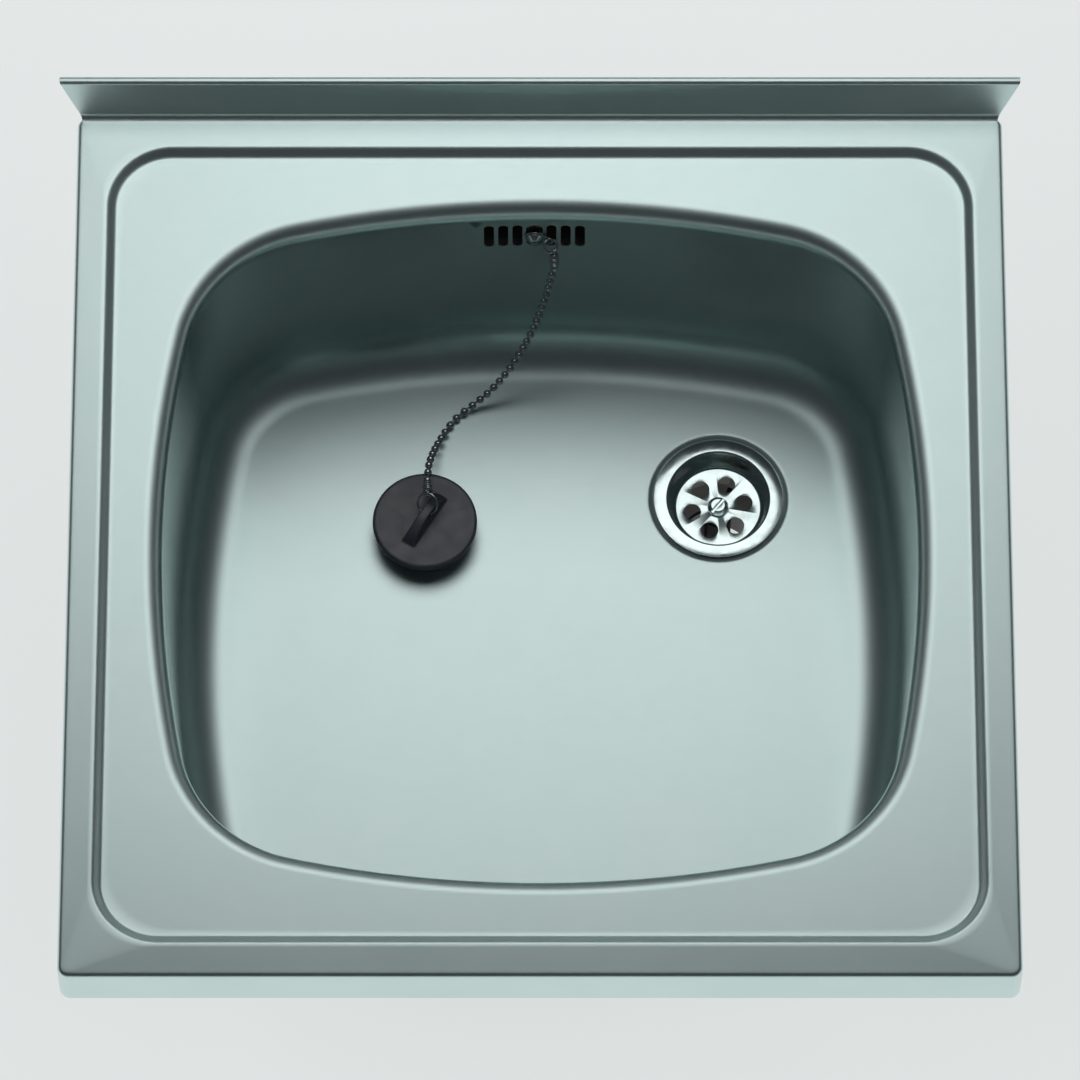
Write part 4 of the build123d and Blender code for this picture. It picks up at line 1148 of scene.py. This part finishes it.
# The overflow hose: a ribbed tube of soft plastic with plain ends, from the waste body's port
# up to the spigot behind the overflow, held at both by a union nut.
SPIGOT = Vector((-3 * MM, 213 * MM, 0))
PORT_HEIGHT = -180 * MM
PORT_REACH = 47 * MM
SPIGOT_BOTTOM = -64 * MM
CUFF_RADIUS = 10 * MM
CUFF_LENGTH = 23 * MM
CUFF_INSERTION = 8 * MM
HOSE_BEND = 55 * MM
RIB_RADIUS = 11.5 * MM
VALLEY_RADIUS = 9.8 * MM
RIBS = 34
NUT_RADIUS = 16 * MM
NUT_GRIPS = 14
NUT_DEPTH = 11 * MM
NUT_LID = 2.5 * MM
NUT_OVERLAP = 8 * MM

OUTWARD = Vector((SPIGOT.x - WASTE.x, SPIGOT.y - WASTE.y, 0))
HOSE_ACROSS = OUTWARD.length
OUTWARD.normalize()


def hose_place(travel, straight, bend):
    """The place across the hose at a distance along it: level, one bend, then upright."""
    start = PORT_REACH - CUFF_INSERTION
    turn = min(max(travel - straight, 0) / HOSE_BEND, math.pi / 2)
    past = max(travel - straight - bend, 0)
    radial = start + min(travel, straight) + HOSE_BEND * math.sin(turn)
    height = PORT_HEIGHT + HOSE_BEND * (1 - math.cos(turn)) + past
    origin = Vector((WASTE.x, WASTE.y, height)) + OUTWARD * radial
    heading = OUTWARD * math.cos(turn) + Vector((0, 0, math.sin(turn)))
    level = OUTWARD.cross(Vector((0, 0, 1)))
    across = heading.cross(level)
    return Matrix.Translation(origin) @ Matrix((level, across, heading)).transposed().to_4x4()


def hose_finish():
    """Soft grey plastic, with faint random patches of dust."""
    finish = Finish("hose_plastic", Metallic=0)
    dust = finish.noise(14 * MM, detail=4)
    finish.set(Base_Color=finish.start.colours(dust, (0.56, 0.58, 0.59, 1), (0.44, 0.46, 0.47, 1)))
    finish.set(Roughness=finish.spread(dust, 0.3, 0.7, 0.38, 0.55))
    finish.bump(finish.noise(0.7 * MM), 0.02 * MM)
    return finish.material


def overflow_hose():
    """The hose's outside, plain ends and all its ribs, closed over its bore at both ends."""
    straight = HOSE_ACROSS - HOSE_BEND - (PORT_REACH - CUFF_INSERTION)
    bend = HOSE_BEND * math.pi / 2
    length = straight + bend + SPIGOT_BOTTOM + CUFF_INSERTION - (PORT_HEIGHT + HOSE_BEND)
    pitch = (length - 2 * CUFF_LENGTH) / RIBS
    wall = 2 * MM
    bevel = 0.4 * MM
    rings = [(0, CUFF_RADIUS - wall), (0, CUFF_RADIUS - bevel), (bevel, CUFF_RADIUS)]
    rings.append((CUFF_LENGTH, CUFF_RADIUS))
    for i in range(RIBS):
        for step in range(10):
            swell = (1 - math.cos(2 * math.pi * (step + 0.5) / 10)) / 2
            radius = VALLEY_RADIUS + (RIB_RADIUS - VALLEY_RADIUS) * swell ** 0.6
            rings.append((CUFF_LENGTH + (i + (step + 0.5) / 10) * pitch, radius))
    rings += [(length - CUFF_LENGTH, CUFF_RADIUS), (length - bevel, CUFF_RADIUS)]
    rings += [(length, CUFF_RADIUS - bevel), (length, CUFF_RADIUS - wall)]
    for share in np.linspace(1, 0, 40):
        rings.append((length * share, CUFF_RADIUS - wall))
    made = bmesh.new()
    sides = 56
    rows = []
    for travel, radius in rings[:-1]:
        place = hose_place(travel, straight, bend)
        turns = [2 * math.pi * i / sides for i in range(sides)]
        ring = [Vector((radius * math.cos(t), radius * math.sin(t), 0)) for t in turns]
        rows.append([made.verts.new(place @ point) for point in ring])
    for lower, upper in zip(rows, rows[1:] + rows[:1]):
        for i in range(sides):
            j = (i + 1) % sides
            made.faces.new([lower[i], lower[j], upper[j], upper[i]])
    return fit("overflow_hose", made, hose_finish(), "sink", ["overflow_hose"])


# Where the white plastic is darkened with painted shade: the waste body's bore and the overflow housing's
# room.
SHADED_BORE_RADIUS = 21.5 * MM
ROOM_HALF_WIDTH = 34.2 * MM
ROOM_HALF_HEIGHT = 16.2 * MM
ROOM_WALL = 1.2 * MM


def painted_shade_inside(finish):
    """1 inside the waste body and the overflow's housing, where the plastic is darkened with painted shade,
    and 0 elsewhere.
    """
    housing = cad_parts["overflow_housing"]
    rear = max((housing.matrix_world @ Vector(corner)).y for corner in housing.bound_box)
    where = finish.place()
    x, y, z = (finish.start.node("ShaderNodeSeparateXYZ", inputs={0: where}, output=i) for i in range(3))
    maths = finish.start.maths
    across, back = x - WASTE.x, y - WASTE.y
    in_body = maths("LESS_THAN", maths("SQRT", across * across + back * back), SHADED_BORE_RADIUS)
    in_width = maths("LESS_THAN", maths("ABSOLUTE", x - OVERFLOW.x), ROOM_HALF_WIDTH)
    in_height = maths("LESS_THAN", maths("ABSOLUTE", z - OVERFLOW.z), ROOM_HALF_HEIGHT)
    in_depth = maths("LESS_THAN", y, rear - ROOM_WALL)
    return maths("MAXIMUM", in_body, in_width * in_height * in_depth)


def white_finish():
    """White moulded plastic with the faint orange peel of its mould, and painted shade darkening it inside
    the waste body and overflow housing.
    """
    finish = Finish("white_plastic", Metallic=0)
    clouds = finish.noise(30 * MM, detail=3)
    plastic_colour = finish.start.colours(clouds, (0.78, 0.78, 0.75, 1), (0.70, 0.70, 0.67, 1))
    # The near-black colour is painted shade inside the waste body and the overflow housing, not a film on the
    # plastic.
    finish.set(Base_Color=finish.start.colours(painted_shade_inside(finish), plastic_colour, (0.020, 0.021, 0.020, 1)))
    finish.set(Roughness=finish.spread(clouds, 0.3, 0.7, 0.36, 0.48))
    finish.bump(finish.noise(1.2 * MM), 0.03 * MM)
    return finish.material


WHITE = white_finish()


def union_nut(name, place):
    """A union nut: a cap with grips moulded round it and a hole in its lid for the hose."""

    def grips(radius, height, turn):
        if radius < NUT_RADIUS - 1.2 * MM:
            return radius
        near = abs((turn * NUT_GRIPS / (2 * math.pi)) % 1 - 0.5) * 2
        return radius - 1.3 * MM * eased(min(max((near - 0.62) / 0.38, 0), 1))

    top = NUT_DEPTH + NUT_LID
    bore = CUFF_RADIUS + 0.3 * MM
    thread = 12.8 * MM
    corners = [
        (thread, 0), (NUT_RADIUS, 0), (NUT_RADIUS, top), (bore, top), (bore, NUT_DEPTH), (thread, NUT_DEPTH),
    ]
    line = rounded(corners + corners[:1], [0.5 * MM, 1.0 * MM, 0.4 * MM, 0.2 * MM, 0.2 * MM], 5)[:-1]
    made = bmesh.new()
    add_turned(made, line, place, 14 * 16, closed=True, fluting=grips)
    return fit(name, made, WHITE, "sink", [name])


overflow_hose()
PORT_NUT = Vector((WASTE.x, WASTE.y, PORT_HEIGHT)) + OUTWARD * (PORT_REACH - NUT_OVERLAP)
SPIGOT_NUT = SPIGOT + Vector((0, 0, SPIGOT_BOTTOM + NUT_OVERLAP))
union_nut("hose_nut_lower", facing(PORT_NUT, OUTWARD))
union_nut("hose_nut_upper", facing(SPIGOT_NUT, Vector((0, 0, -1))))


# What keeps its own shape: the moulded waste body and overflow housing, their seals and brass
# inserts, the pad glued under the floor and the zinc-plated brackets under the top.
def seal_finish():
    """Soft black seal rubber."""
    finish = Finish("seal_rubber", Metallic=0)
    bloom = finish.noise(5 * MM, detail=3)
    finish.set(Base_Color=finish.start.colours(bloom, (0.020, 0.020, 0.022, 1), (0.045, 0.045, 0.048, 1)))
    finish.set(Roughness=finish.spread(bloom, 0.3, 0.7, 0.5, 0.65))
    finish.bump(finish.noise(0.6 * MM), 0.02 * MM)
    return finish.material


def brass_finish():
    """Turned brass, slightly tarnished."""
    finish = Finish("insert_brass", Metallic=1)
    tarnish = finish.noise(4 * MM, detail=4)
    finish.set(Base_Color=finish.start.colours(tarnish, (0.78, 0.58, 0.26, 1), (0.55, 0.38, 0.16, 1)))
    finish.set(Roughness=finish.spread(tarnish, 0.3, 0.7, 0.2, 0.38))
    finish.bump(finish.noise(0.3 * MM), 0.01 * MM)
    return finish.material


def zinc_finish():
    """Zinc plating with its faint crystals."""
    finish = Finish("zinc_steel", Metallic=1)
    where = finish.place()
    crystals = finish.start.node("ShaderNodeTexVoronoi", inputs={"Vector": where, "Scale": 1 / (3 * MM)})
    finish.set(Base_Color=finish.start.colours(crystals, (0.62, 0.64, 0.66, 1), (0.48, 0.50, 0.53, 1)))
    finish.set(Roughness=finish.spread(crystals, 0, 0.8, 0.28, 0.45))
    finish.bump(crystals, 0.02 * MM)
    return finish.material


def mat_finish():
    """Dark deadening mat, rolled with a fine pattern of dimples."""
    finish = Finish("deadening_mat", Metallic=0)
    where = finish.place((1, 1, 0))
    pattern = {"Vector": where, "Scale": 1 / (5 * MM)}
    cells = finish.start.node("ShaderNodeTexVoronoi", {"feature": "SMOOTH_F1"}, pattern)
    dust = finish.noise(40 * MM, detail=4)
    finish.set(Base_Color=finish.start.colours(dust, (0.035, 0.036, 0.038, 1), (0.075, 0.076, 0.078, 1)))
    finish.set(Roughness=finish.spread(dust, 0.3, 0.7, 0.7, 0.85))
    finish.bump(cells, 0.5 * MM)
    return finish.material


def dress(material, *names):
    """Gives the frame's own pieces their finish."""
    for name in names:
        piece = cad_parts[name]
        if piece.material_slots:
            piece.material_slots[0].material = material
        else:
            piece.data.materials.append(material)


dress(WHITE, "waste_body", "overflow_housing")
dress(seal_finish(), "flange_seal", "body_seal", "overflow_gasket", "hose_seal_upper", "hose_seal_lower")
dress(brass_finish(), "waste_insert", "overflow_insert")
dress(zinc_finish(), "fixing_brackets")
dress(mat_finish(), "deadening_pad")
